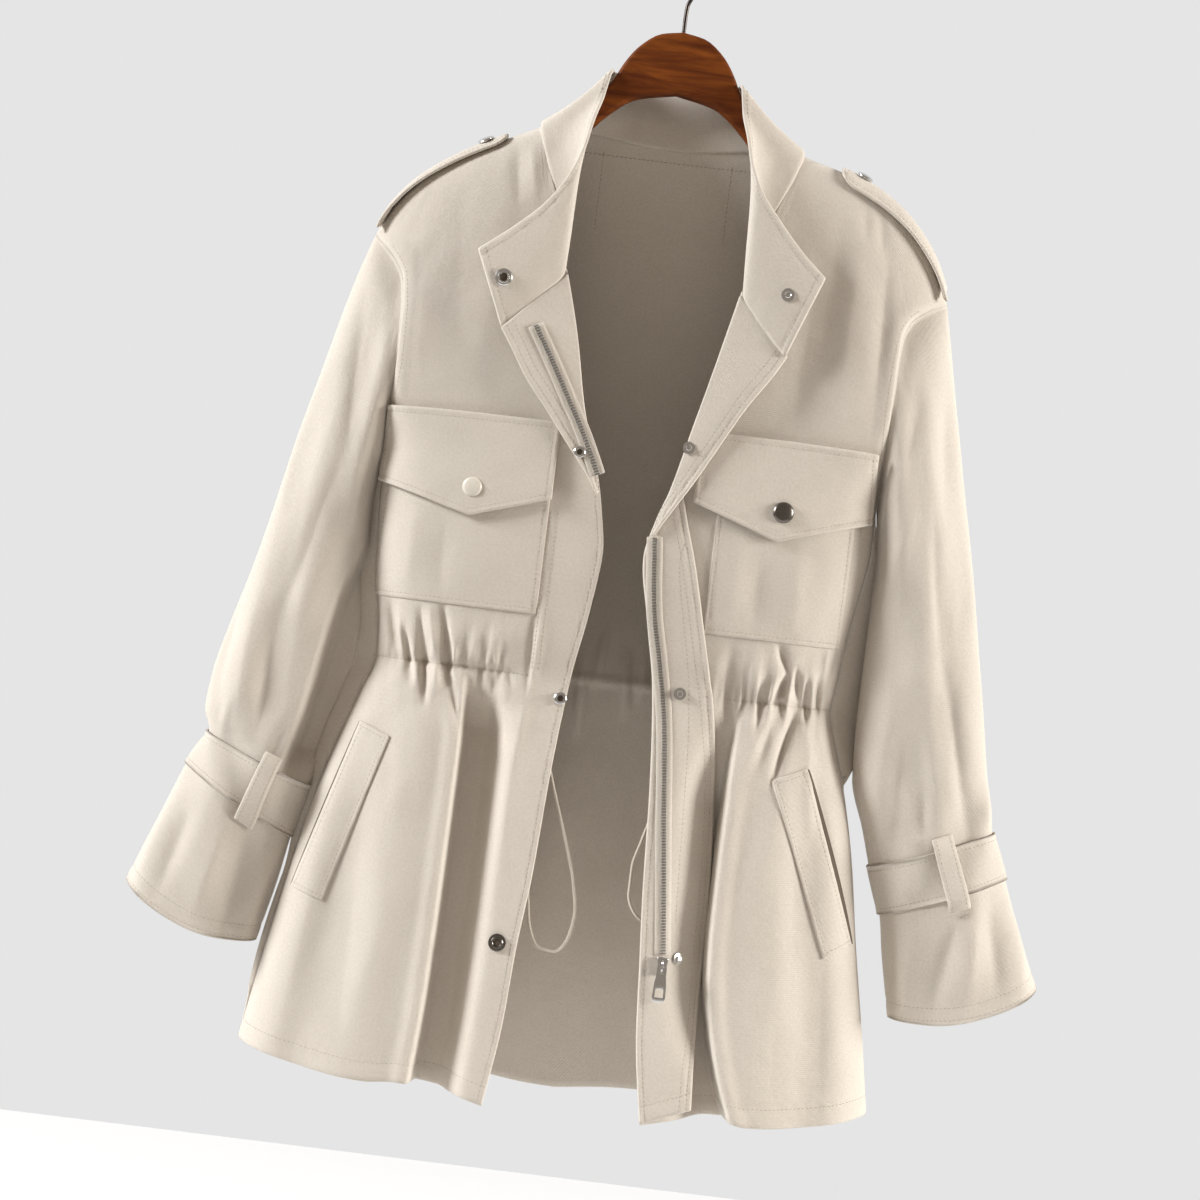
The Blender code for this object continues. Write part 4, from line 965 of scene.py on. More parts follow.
def turned(name: str, profile: Sequence[tuple[float, float]], sides: int = 40) -> bpy.types.Object:
    """Models a round piece as by hand: a disc extruded and resized ring after ring.

    Args:
        name: The piece's name.
        profile: (radius, height) of each ring in millimetres, from the foot's rim inwards over the top.
        sides: Its number of sides.

    Returns:
        The piece, standing on z = 0 about the z axis.
    """
    deselect()
    radius, height = profile[0]
    bpy.ops.mesh.primitive_circle_add(vertices=sides, radius=radius * MM, fill_type="NGON",
        location=(0, 0, height * MM))
    obj = bpy.context.object
    bpy.ops.object.transform_apply(location=True)
    bpy.ops.object.mode_set(mode="EDIT")
    bpy.ops.mesh.select_all(action="SELECT")
    for next_radius, next_height in profile[1:]:
        bpy.ops.mesh.extrude_region_move(TRANSFORM_OT_translate={"value": (0, 0, (next_height - height) * MM)})
        scale = next_radius / radius
        bpy.ops.transform.resize(value=(scale, scale, 1), center_override=(0, 0, next_height * MM))
        radius, height = next_radius, next_height
    bpy.ops.mesh.select_all(action="SELECT")
    bpy.ops.mesh.normals_make_consistent(inside=False)
    bpy.ops.object.mode_set(mode="OBJECT")
    obj.name = name
    obj.data.name = name
    bpy.ops.object.shade_smooth_by_angle(angle=math.radians(35))
    obj.select_set(False)
    return obj


# ------------------------------------------------------------ the coat itself
COLLAR_LEAVES = {
    Side.LEFT: (
        Leaf(127, 250, -47, 105, 301, -45.5), Leaf(104, 231, -45.5, 90, 287, -43.5),
        Leaf(83, 210, -43.5, 77, 272, -41),
        Leaf(69, 187, -40.5, 65, 254, -37.5), Leaf(61, 163, -34, 73, 214, -31), Leaf(57, 142, -24, 84, 184, -21),
        Leaf(52, 122, -12, 91.5, 163, -9), Leaf(48.5, 104, -8.5, 95, 149.5, -6), Leaf(47.5, 102.5, 9, 92.5, 144.5, 7),
        Leaf(27, 102, 22, 55, 148, 20),
    ),
    Side.RIGHT: (
        Leaf(121.5, 241, -47, 101, 297, -45.5), Leaf(104, 225, -45.5, 88, 284, -43.5),
        Leaf(87, 206, -43.5, 76, 271, -41),
        Leaf(69, 182, -40.5, 66, 254, -37.5), Leaf(60, 160, -34, 74, 214, -31), Leaf(55.5, 142, -24, 86, 184, -21),
        Leaf(50, 122, -12, 94, 163, -9), Leaf(47, 104, -8.5, 98, 147.5, -6), Leaf(46, 102.5, 9, 95, 142.5, 7),
        Leaf(26, 102, 22, 55, 147.5, 20),
    ),
}
COLLAR_MIDDLE = Leaf(0, 104, 26, 0, 152, 24)


@dataclass
class Body:
    """The two fronts and the back."""

    form: CoatForm
    shop: Workshop
    rows: int = 200
    columns: int = 112
    neck_gap: Spot = Spot(0.4, 0.2)
    side_gap: float = 1.0
    hem_rise: float = 1.0
    hem_stitch: float = 13.0
    edge_stitch: float = 3.5
    sweep_top: float = 780.0
    waist_seam: float = 549.5
    waist_run: dict = field(default_factory=lambda: {Side.LEFT: (-172, -54, 120), Side.RIGHT: (88, 167, 80)})
    back_seams: tuple = (540.5, 551.5)
    back_seam_reach: float = 166.0
    facing: Box = Box(-48, 48, 158, 216)
    facing_seam: Spot = Spot(66, 161)
    band_lines: tuple = (-53, -48)
    band: tuple = (430, 545)
    flange: dict = field(default_factory=lambda: {
        Side.LEFT: ((402, 430, 480, 560, 600, 640, 680, 715), (0, 5, 7, 4, 7, 8, 5, 0)),
        Side.RIGHT: ((402, 430, 480, 560, 590, 606), (0, 4, 6, 5, 3, 0)),
    })
    row_table: tuple = (
        Row(256, 243, 1.0), Row(265, 255, 0.82), Row(278, 270, 0.6), Row(294, 290, 0.4), Row(316, 316, 0.18),
        Row(344, 344, 0.04),
        Row(372, 372, 0), Row(400, 400, 0), Row(428, 428, 0), Row(456, 456, 0), Row(484, 480, 0), Row(506, 502, 0),
        Row(520, 518, 0),
        Row(533, 532, 0), Row(546, 546, 0), Row(559, 559, 0), Row(574, 573, 0), Row(592, 590, 0), Row(616, 612, 0),
        Row(648, 642, 0),
        Row(684, 676, 0), Row(722, 712, 0), Row(760, 748, 0), Row(798, 784, 0), Row(830, 814, 0), Row(857, 838, 0),
    )
    neck_back: tuple = (Spot(0, 149), Spot(30, 148.2), Spot(55, 145.6), Spot(80, 143))
    armhole_welt: float = 0.9
    panels: dict = field(default_factory=dict)

    def top_edge(self, side: Side, u: Array) -> tuple[Array, Array]:
        """Returns (x, drop) on a front's top: up the neckline, then out along the shoulder."""
        neck = [(leaf.low_x + self.neck_gap.x,
            leaf.low_drop + self.neck_gap.drop) for leaf in COLLAR_LEAVES[side][3:8]]
        split = 8 / 24
        neck_x, neck_drop = along(neck, np.clip(u / split, 0, 1))
        start, tip = neck[-1][0], self.form.shoulders[side][-1].x
        x = np.where(u <= split, neck_x, mix(start, tip, (u - split) / (1 - split)))
        ridge = self.form.ridge(side.value * x)
        return side.value * x, np.where(u <= split, np.maximum(neck_drop, ridge), ridge)

    def near_hem(self, drop: Array) -> Array:
        """Returns how far down the hem's own sweep a place is, from 0 to 1."""
        return np.clip((drop - self.sweep_top) / (self.form.hem - self.sweep_top), 0, 1)

    def front(self, side: Side) -> None:
        """Builds one front from its neck and shoulder to its hem."""
        form, shop = self.form, self.shop
        front_drop, side_drop, follow = (c[:, None] for c in along(self.row_table, np.linspace(0, 1, self.rows)))
        u = np.linspace(0, 1, self.columns)[None, :]
        first = getattr(form.front_edge[0], side.word)
        tip_x, tip_drop = self.top_edge(side, np.array(1.0))
        inner = form.edge[side](front_drop)
        outer = side.value * (form.side_x(side, side_drop) - np.where(side_drop < form.arm_foot, form.seam, 0))
        top_x, top_drop = self.top_edge(side, u)
        x = mix(inner, outer, u) + follow * (top_x - mix(first, tip_x, u))
        drop = mix(front_drop, side_drop, u) + follow * (top_drop - mix(form.front_edge[0].drop, tip_drop, u))
        low = self.near_hem(drop)
        drop = drop + low * form.hem_sag * (np.sin(np.pi * np.clip((u - 0.35) / 0.65, 0,
            1)) - 0.9 * np.sin(np.pi * np.clip(u / 0.45, 0, 1)))
        y = np.minimum(form.body_y(Face.FRONT, x, drop), -self.side_gap)
        reach = np.abs(outer - x)
        y = y - np.where(drop < form.arm_foot + 4,
            self.armhole_welt * np.exp(-((reach / 9) ** 4)) * np.clip((form.arm_foot + 4 - drop) / 12, 0,
                1) * np.clip((drop - form.arm_top) / 12, 0, 1), 0)
        grid = np.stack([x, y, -drop], -1)
        if side is Side.LEFT:
            grid = grid[:, ::-1]
        panel = shop.cloth(f"front_{side.word}_cloth", grid, form.wall, nodes=[f"front_{side.word}"],
            grooves=[("foot", self.hem_stitch), ("right" if side is Side.LEFT else "left", self.edge_stitch)])
        self.panels[side] = panel
        edge, far = ("left", "right") if side is Side.RIGHT else ("right", "left")
        lines = [panel.inset("foot", self.hem_stitch), panel.inset(edge, self.edge_stitch, 0.26, 1.0),
            panel.inset(far, 5, 0.04, 0.34)]
        xs = np.linspace(*self.waist_run[side])
        lines.append(form.on_body(Face.FRONT, xs, np.full_like(xs, self.waist_seam), 0.2))
        if side is Side.LEFT:
            drops = np.linspace(*self.band, 90)
            for x_at in self.band_lines:
                lines.append(form.on_body(Face.FRONT, np.full_like(drops, x_at), drops, 0.2))
        shop.stitches(f"front_{side.word}_stitches", lines)

    def back(self) -> None:
        """Builds the back in one piece, its columns from the right sleeve to the left."""
        form, shop = self.form, self.shop
        front_drop, side_drop, follow = (c[:, None] for c in along(self.row_table, np.linspace(0, 1, 150)))
        across = np.linspace(1, -1, 181)[None, :]
        u, split = np.abs(across), 0.46
        grids = []
        for side in Side:
            tip, neck = form.shoulders[side][-1], COLLAR_LEAVES[side][7].low_x
            low = Curve([tuple(spot) for spot in self.neck_back] + [(neck, float(form.ridge(side.value * neck)))])
            top_x = np.where(u < split, neck * u / split, mix(neck, tip.x, (u - split) / (1 - split)))
            top = np.where(u < split, low(top_x), form.ridge(side.value * top_x))
            outer = form.side_x(side, side_drop) - np.where(side_drop < form.arm_foot, form.seam,
                0) + form.flare[side](side_drop) + np.interp(side_drop, *self.flange[side])
            x = u * outer + follow * (top_x - u * tip.x)
            middle = front_drop - follow * (self.row_table[0].front_drop - self.neck_back[0].drop)
            drop = mix(middle, side_drop, u) + follow * (top - mix(self.neck_back[0].drop, tip.drop, u))
            drop = drop - self.near_hem(drop) * self.hem_rise * (1 - u)
            past = np.maximum(0, x - form.side_x(side, side_drop)) * (side_drop > form.arm_foot)
            y = np.maximum(form.body_y(Face.BACK, side.value * x, drop), self.side_gap) + 0.8 * past
            grids.append(np.stack([side.value * x, y, -drop], -1))
        left, right = grids
        grid = np.where((across >= 0)[..., None], right, left)
        panel = shop.cloth("back_cloth", grid, form.wall, nodes=["back_panel"])
        self.panels["back"] = panel
        drops = np.linspace(self.facing.top, self.facing.foot, 40)
        lines = [panel.inset("foot", self.hem_stitch), panel.inset("left", 5, 0.04, 0.34),
            panel.inset("right", 5, 0.04, 0.34)]
        for drop_at in self.back_seams:
            xs = np.linspace(-self.back_seam_reach, self.back_seam_reach, 300)
            lines.append(form.on_body(Face.BACK, xs, np.full_like(xs, drop_at), 0.2))
        shop.stitches("back_stitches", lines)
        inside = []
        for x_at in (self.facing.x0, self.facing.x1):
            points, normals = form.on_body(Face.BACK, np.full_like(drops, x_at), drops, -form.wall - 0.2)
            inside.append((points, -normals))
        xs = np.linspace(-self.facing_seam.x, self.facing_seam.x, 70)
        points, normals = form.on_body(Face.BACK, xs, np.full_like(xs, self.facing_seam.drop), -form.wall - 0.2)
        inside.append((points, -normals))
        shop.stitches("back_inner_stitches", inside)


@dataclass
class Sleeves:
    """The sleeves, their cuff straps and the loops that hold the straps."""

    form: CoatForm
    shop: Workshop
    back_set: float = 5.0
    rows: int = 165
    points: int = 104
    strap_wall: float = 1.2
    strap_rings: tuple = (8, 10)
    loop_at: dict = field(default_factory=lambda: {Side.LEFT: 0.64, Side.RIGHT: 0.42})
    rings: dict = field(default_factory=lambda: {
        Side.LEFT: (
            Ring(214, 268, 181.2, 411, 32, 0.8), Ring(222, 297, 183, 424, 33, 0.55),
            Ring(235, 355, 184.5, 446, 34, 0.25),
            Ring(251, 428, 184, 480, 33, 0.05), Ring(267, 497, 180.5, 522, 32, 0), Ring(277, 534, 182.5, 550, 31, 0),
            Ring(287, 578, 191, 592, 30, 0), Ring(289, 602, 199, 625, 28, 0), Ring(284, 619, 206, 651, 27, 0),
            Ring(290, 631, 211, 670, 27.5, 0), Ring(297, 644, 215, 690, 28, 0), Ring(312, 684, 221, 724, 31, -0.03),
            Ring(331, 734, 231, 768, 34, -0.09),
        ),
        Side.RIGHT: (
            Ring(222, 270, 184.8, 411, 32, 0.8), Ring(228, 297, 186.5, 424, 33, 0.55),
            Ring(241, 355, 188, 448, 34, 0.25),
            Ring(257, 428, 188, 482, 33, 0.05), Ring(270, 497, 188, 522, 32, 0), Ring(280, 544, 188, 556, 31, 0),
            Ring(289, 588, 190, 598, 30, 0), Ring(294, 608, 202, 634, 28, 0), Ring(297, 624, 210, 660, 27, 0),
            Ring(303, 639, 216, 677, 27.5, 0), Ring(310, 656, 222, 694, 28, 0), Ring(323, 690, 227, 722, 31, -0.03),
            Ring(343, 734, 237, 768, 34, -0.09),
        ),
    })
    creases: dict = field(default_factory=lambda: {
        Side.LEFT: (
            (Face.FRONT, Crease(-208, 285, -206, 400, 9, -3.5)), (Face.FRONT, Crease(-206, 400, -242, 540, 10, -4.5)),
            (Face.FRONT, Crease(-232, 300, -256, 520, 9, 3.0)),
            (Face.FRONT, Crease(-276, 505, -281, 596, 7, -4.0)), (Face.FRONT, Crease(-258, 520, -262, 612, 8, 3.0)),
            (Face.FRONT, Crease(-242, 540, -246, 622, 6, -3.4)),
            (Face.FRONT, Crease(-222, 500, -230, 630, 7, 2.6)), (Face.FRONT, Crease(-268, 590, -272, 622, 4, 2.2)),
            (Face.FRONT, Crease(-226, 600, -234, 640, 3.5, -2.6)),
            (Face.FRONT, Crease(-244, 690, -254, 764, 6, -4.0)), (Face.FRONT, Crease(-262, 690, -276, 752, 7, 3.0)),
            (Face.FRONT, Crease(-286, 672, -306, 744, 7, -3.0)),
            (Face.FRONT, Crease(-228, 700, -238, 764, 6, 3.0)), (Face.FRONT, Crease(-300, 665, -322, 735, 7, 2.4)),
            (Face.FRONT, Crease(-222, 712, -228, 760, 4, -2.4)),
            (Face.BACK, Crease(-225, 300, -250, 560, 11, -4.0)), (Face.BACK, Crease(-205, 320, -215, 600, 11, 3.5)),
            (Face.BACK, Crease(-255, 420, -275, 600, 9, 3.0)),
            (Face.BACK, Crease(-250, 690, -262, 764, 8, -3.5)), (Face.BACK, Crease(-285, 680, -305, 740, 8, 3.0)),
        ),
        Side.RIGHT: (
            (Face.FRONT, Crease(204, 290, 208, 600, 11, 2.6)), (Face.FRONT, Crease(222, 400, 246, 520, 9, -4.0)),
            (Face.FRONT, Crease(246, 510, 279, 632, 8, -5.0)),
            (Face.FRONT, Crease(252, 400, 286, 590, 7, 3.0)), (Face.FRONT, Crease(232, 520, 256, 630, 7, 2.6)),
            (Face.FRONT, Crease(222, 300, 232, 400, 8, -2.4)),
            (Face.FRONT, Crease(287, 590, 292, 622, 4, 2.2)), (Face.FRONT, Crease(240, 600, 244, 640, 4, -2.4)),
            (Face.FRONT, Crease(221, 560, 224, 650, 6, -2.0)),
            (Face.FRONT, Crease(276, 676, 264, 760, 7, -4.0)), (Face.FRONT, Crease(298, 672, 312, 740, 7, -3.0)),
            (Face.FRONT, Crease(287, 680, 290, 750, 6, 3.0)),
            (Face.FRONT, Crease(246, 690, 246, 764, 8, 3.0)), (Face.FRONT, Crease(316, 668, 332, 732, 6, 2.2)),
            (Face.FRONT, Crease(230, 700, 238, 768, 5, -2.4)),
            (Face.BACK, Crease(232, 300, 255, 560, 11, -4.0)), (Face.BACK, Crease(210, 320, 222, 600, 11, 3.5)),
            (Face.BACK, Crease(260, 420, 284, 600, 9, 3.0)),
            (Face.BACK, Crease(262, 690, 266, 760, 8, -3.5)), (Face.BACK, Crease(295, 680, 312, 740, 8, 3.0)),
        ),
    })
    tuck: tuple = (Spot(-176, 446), Spot(-189, 476), Spot(-201, 512), Spot(-209, 550), Spot(-217, 596),
        Spot(-229, 642))
    tuck_floor: float = 12.0
    panels: dict = field(default_factory=dict)

    def ring_points(self, side: Side, index: int, angle: Array, grow: float) -> Array:
        """Returns a ring's points; angle 0 is its outer edge and a quarter turn is its front."""
        s = (1 - np.cos(angle)) / 2
        hole_x, hole_drop = self.form.armhole_at(side, s)
        (top_x, top_drop), (foot_x, foot_drop) = (self.form.armhole_at(side, t) for t in (0.0, 1.0))
        if index < 0:
            y = -np.sign(np.sin(angle)) * self.form.arm_depth(hole_drop)
            return np.stack([hole_x + side.value * self.form.seam, y, -hole_drop], -1)
        ring = self.rings[side][index]
        x = side.value * mix(ring.outer_x, ring.inner_x, s) + ring.bow * (hole_x - mix(top_x, foot_x, s))
        drop = mix(ring.outer_drop, ring.inner_drop, s)
        bow = 110 * -ring.bow * np.sin(np.pi * s) if ring.bow < 0 else ring.bow * (hole_drop - mix(top_drop,
            foot_drop, s))
        ripple = np.sin(angle) * (1 + 0.07 * np.sin(3 * angle + index) + 0.05 * np.sin(5 * angle - 1.7 * index))
        y = np.clip(index / 3, 0, 1) * self.back_set - (ring.depth + grow) * ripple
        return np.stack([x + side.value * grow * np.cos(angle), y, -(drop + bow)], -1)

    def tube(self, side: Side, first: float, last: float, rows: int, angle: Array, grow: float = 0.0) -> Array:
        """Returns the grid of a sleeve between two rings, evenly spaced down its length.

        Args:
            side: Which sleeve.
            first: The first ring, counted from -1 at the armhole.
            last: The last ring.
            rows: The number of rows.
            angle: The angles of each row's points.
            grow: How far the points stand out from the sleeve.

        Returns:
            Points (rows, angles, 3).
        """
        stack = np.stack([self.ring_points(side, i, angle, grow) for i in range(-1, len(self.rings[side]))])
        run = np.concatenate([[0], np.cumsum(np.linalg.norm(np.diff(stack, axis=0), axis=-1).mean(1))])
        at = np.interp([first, last], np.arange(-1, len(stack) - 1), run)
        return smooth_stack(run, stack, np.linspace(at[0], at[1], rows))

    def build(self, side: Side) -> None:
        """Builds one sleeve with its strap and loop."""
        shop, word = self.shop, side.word
        angle = np.linspace(0, math.tau, self.points, endpoint=False)
        grid = self.tube(side, -1, 12, self.rows, angle)
        across = np.roll(grid, -1, 1) - np.roll(grid, 1, 1)
        normal = np.cross(np.gradient(grid, axis=0), across)
        normal *= side.value * -1
        normal /= np.maximum(np.linalg.norm(normal, axis=-1, keepdims=True), 1e-9)
        relief = np.zeros(grid.shape[:2])
        facing = np.clip(np.sin(angle) * 3, -1, 1)[None, :]
        fade = np.clip(np.arange(self.rows) / 10, 0, 1)[:, None]
        for face, crease in self.creases[side]:
            relief += crease.relief(grid[..., 0], -grid[..., 2]) * np.clip(-face.value * facing, 0, 1)
        grid = grid + normal * (relief * fade)[..., None]
        if side is Side.LEFT:
            drop = -grid[..., 2]
            into = np.clip((grid[..., 0] - Curve([(s.drop, s.x) for s in self.tuck])(drop)) / 7, 0, 1)
            into = into * into * (3 - 2 * into) * np.clip((drop - 450) / 40, 0, 1) * np.clip((648 - drop) / 22, 0, 1)
            grid[..., 1] = mix(grid[..., 1], np.maximum(grid[..., 1], self.tuck_floor), into)
        if side is Side.RIGHT:
            grid = np.roll(grid[:, ::-1], 1, 1)
        panel = shop.cloth(f"sleeve_{word}_cloth", grid, self.form.wall, ring=True, nodes=[f"sleeve_{word}"],
            grooves=[("foot", 12)])
        self.panels[side] = panel
        shop.stitches(f"sleeve_{word}_stitches", [panel.inset("foot", 12), panel.inset("foot", 3)])
        strap = self.tube(side, *self.strap_rings, 13, angle, self.strap_wall + 0.9)
        if side is Side.RIGHT:
            strap = np.roll(strap[:, ::-1], 1, 1)
        band = shop.cloth(f"cuff_strap_{word}_cloth", strap, self.strap_wall, ring=True, nodes=[f"cuff_strap_{word}"],
            rests_on=[f"sleeve_{word}_cloth"], grooves=[("foot", 4), ("top", 4)])
        shop.stitches(f"cuff_strap_{word}_stitches", [band.inset("foot", 4), band.inset("top", 4)])
        self.loop(side)

    def loop(self, side: Side) -> None:
        """Builds the belt loop that stands over the cuff strap."""
        first, last = self.strap_rings
        middle = math.acos(1 - 2 * self.loop_at[side])
        turns = middle + np.linspace(-0.16, 0.16, 7)
        rows = []
        for index, past, lift in ((first, -9, 1.9), (first, -1, 4.9), (first + 1, 0, 5.5), (last, 1, 4.9),
            (last, 9, 1.9)):
            points = self.ring_points(side, index, turns, self.strap_wall)
            rows.append(points + np.array([side.value * past * 0.35, -lift, -past]))
        grid = smooth_stack(np.arange(5.0), np.stack(rows), np.linspace(0, 4, 25))
        if side is Side.RIGHT:
            grid = grid[:, ::-1]
        loop = self.shop.cloth(f"strap_loop_{side.word}_cloth", grid, 1.4, nodes=[f"strap_loop_{side.word}"],
            rests_on=[f"cuff_strap_{side.word}_cloth"])
        self.shop.stitches(f"strap_loop_{side.word}_stitches", [loop.inset("left", 2.4), loop.inset("right", 2.4)])


@dataclass
class Collar:
    """The stand collar, one band round the neck whose wings lie open."""

    form: CoatForm
    shop: Workshop
    wall: float = 2.4
    bulge: float = 2.2
    lap: Spot = Spot(2.4, 0.8)
    columns: int = 240
    rows: int = 26

    def edges(self) -> tuple[Array, Array]:
        """Returns the leaves' upper and lower ends, from the left front's to the right's."""
        leaves = [(-1, leaf) for leaf in COLLAR_LEAVES[Side.LEFT]] + [(1, COLLAR_MIDDLE)] + [(1,
            leaf) for leaf in reversed(COLLAR_LEAVES[Side.RIGHT])]
        tops = np.array([(side * leaf.top_x, leaf.top_y, -leaf.top_drop) for side, leaf in leaves], float)
        lows = np.array([(side * leaf.low_x, leaf.low_y, -leaf.low_drop) for side, leaf in leaves], float)
        count = len(leaves)
        for i in [*range(4, 8), *range(count - 8, count - 4)]:
            x, _, z = lows[i]
            lows[i, 1] = self.form.body_y(Face.FRONT, x, max(-z + 3, float(self.form.ridge(x)))) + 1.5
        for i in [*range(4), *range(count - 4, count)]:
            down = lows[i] - tops[i]
            lows[i] += down / np.linalg.norm(down) * self.lap.x - (0, self.lap.drop, 0)
        for i in range(9, count - 9):
            x, _, z = lows[i]
            lows[i, 1] = self.form.body_y(Face.BACK, x, -z + 2) - self.form.wall - 1.4
        return tops, lows

    def build(self) -> None:
        """Builds the collar."""
        tops, lows = self.edges()
        keys = np.arange(len(tops), dtype=float)
        at = np.linspace(0, keys[-1], self.columns)
        upper, lower = smooth_stack(keys, tops, at), smooth_stack(keys, lows, at)
        v = np.linspace(0, 1, self.rows)[:, None, None]
        grid = mix(upper[None], lower[None], v)
        across, down = np.gradient(grid, axis=1), np.gradient(grid, axis=0)
        normal = np.cross(down, across)
        normal /= np.maximum(np.linalg.norm(normal, axis=-1, keepdims=True), 1e-9)
        grid = grid + normal * (self.bulge * np.sin(np.pi * v))
        panel = self.shop.cloth("collar_cloth", grid, self.wall, nodes=["collar"], centred=True, held="folded",
            grooves=[("top", 5), ("left", 5), ("right", 5)])
        lines = [panel.inset("top", 5), panel.inset("left", 5), panel.inset("right", 5)]
        flipped = []
        for points, normals in lines:
            flipped.append((points - normals * self.wall, -normals))
        self.shop.stitches("collar_stitches", lines + flipped)


@dataclass
class Trims:
    """The zip strip, turned edges, epaulets, pockets, flaps and welts."""

    form: CoatForm
    shop: Workshop
    turned: dict = field(default_factory=lambda: {
        Side.LEFT: (Turned(260, 104.0, 305), Turned(280, 95, 318), Turned(305, 82, 338), Turned(335, 67, 356),
            Turned(365, 51, 376), Turned(392, 31, 401), Turned(412, 22, 415)),
        Side.RIGHT: (Turned(260, 100.0, 301), Turned(282, 92, 316), Turned(310, 77, 340), Turned(345, 61, 370),
            Turned(382, 46, 398), Turned(415, 31, 424), Turned(436, 22.6, 439)),
    })
    epaulets: dict = field(default_factory=lambda: {Side.LEFT: Tab(202, 118, 5, 24, 134),
        Side.RIGHT: Tab(211, 128, 11, 20, 145)})
    flaps: dict = field(default_factory=lambda: {Side.LEFT: Box(-176.5, -54, 367, 422),
        Side.RIGHT: Box(48, 175, 360.5, 411.5)})
    flap_points: dict = field(default_factory=lambda: {Side.LEFT: Spot(-110.5, 440), Side.RIGHT: Spot(110, 432.5)})
    pockets: dict = field(default_factory=lambda: {Side.LEFT: Box(-175, -55, 376, 505),
        Side.RIGHT: Box(66, 166, 369, 504)})
    welts: dict = field(default_factory=lambda: {
        Side.LEFT: Welt(Spot(-172, 598), Spot(-149, 606), Spot(-207, 722), Spot(-183, 729)),
        Side.RIGHT: Welt(Spot(153, 593), Spot(129, 604), Spot(201, 716), Spot(181, 727)),
    })
    turned_lift: float = 5.6
    flap_lift: float = 3.1
    flap_wall: float = 1.6
    pocket_lift: float = 0.2
    patch_wall: float = 0.9
    # How far the strips of painted shade in the pocket openings stand off the front, and their widths.
    slit_lift: float = 0.8
    slit: dict = field(default_factory=lambda: {Side.LEFT: 0.9, Side.RIGHT: 3.4})
    welt_lift: float = 0.2
    welt_wall: float = 1.2
    epaulet_lift: float = 1.6
    epaulet_gape: float = 3.2
    epaulet_wall: float = 2.4

    def turned_strip(self, side: Side) -> None:
        """Builds the front edge that is folded out below the collar and lies on the chest."""
        form = self.form
        table = along(self.turned[side], np.linspace(0, 1, 70))
        fold_drop, free_x, free_drop = (c[:, None] for c in table)
        v = np.linspace(0, 1, 30)[None, :]
        fold_x = form.edge[side](fold_drop)
        x, drop = mix(fold_x, side.value * free_x, v), mix(fold_drop, free_drop, v)
        lift = self.turned_lift + form.wall + form.turned_rise(side, x,
            drop) - 1.6 * (1 - v) ** 2 + 0.5 * np.sin(v * 5 + fold_drop / 14) * v
        grid = form.on_body(Face.FRONT, x, drop, lift)[0]
        if side is Side.LEFT:
            grid = grid[:, ::-1]
        panel = self.shop.cloth(f"turned_edge_{side.word}_cloth", grid, form.wall, nodes=[f"turned_edge_{side.word}"],
            held="folded", rests_on=[f"front_{side.word}_cloth"],
            grooves=[("left" if side is Side.LEFT else "right", 4)])
        free = "left" if side is Side.LEFT else "right"
        self.shop.stitches(f"turned_edge_{side.word}_stitches", [panel.inset(free, 4), panel.inset(free, 9.5)])

    def placket(self) -> None:
        """Builds the zip's own strip down the right front."""
        form = self.form
        t, v = np.linspace(0, 1, 150)[:, None], np.linspace(0, 1, 34)[None, :]
        inner_drop, outer_drop = mix(396, 856, t), mix(397, 842, t)
        x = mix(form.edge[Side.RIGHT](inner_drop), form.placket_edge(outer_drop), v)
        drop = mix(inner_drop, outer_drop, v)
        wave = 0.7 * np.sin(drop / 21 + 1) * v + 0.4 * np.sin(drop / 9) * v**2
        grid = np.stack([x, form.placket_y(x, drop) - wave, -drop], -1)
        panel = self.shop.cloth("placket_right_cloth", grid, form.wall, nodes=["placket_right"],
            rests_on=["front_right_cloth"], grooves=[("left", 3.5), ("right", 3.5), ("foot", 12)])
        self.shop.stitches("placket_right_stitches", [panel.inset("left", 3.5), panel.inset("right", 3.5),
            panel.inset("right", 9), panel.inset("foot", 12), panel.inset("left", 26, 0.1, 0.7)])

    def over_ridge(self, x: Array, reach: Array, lift: float) -> Array:
        """Returns the points on the shoulder `reach` below its ridge, to the front where positive."""
        def at(a: Array, q: Array) -> Array:
            """Returns the shoulder's points at x = a and q below the ridge."""
            drop = self.form.ridge(a) + np.abs(q)
            y = np.where(q > 0, self.form.body_y(Face.FRONT, a, drop), self.form.body_y(Face.BACK, a, drop))
            return np.stack(np.broadcast_arrays(a, y, -drop), -1)
        x, reach = np.broadcast_arrays(x, reach)
        normal = np.cross(at(x + 2, reach) - at(x - 2, reach), at(x, reach - 1.5) - at(x, reach + 1.5))
        return at(x, reach) + normal / np.linalg.norm(normal, axis=-1, keepdims=True) * lift

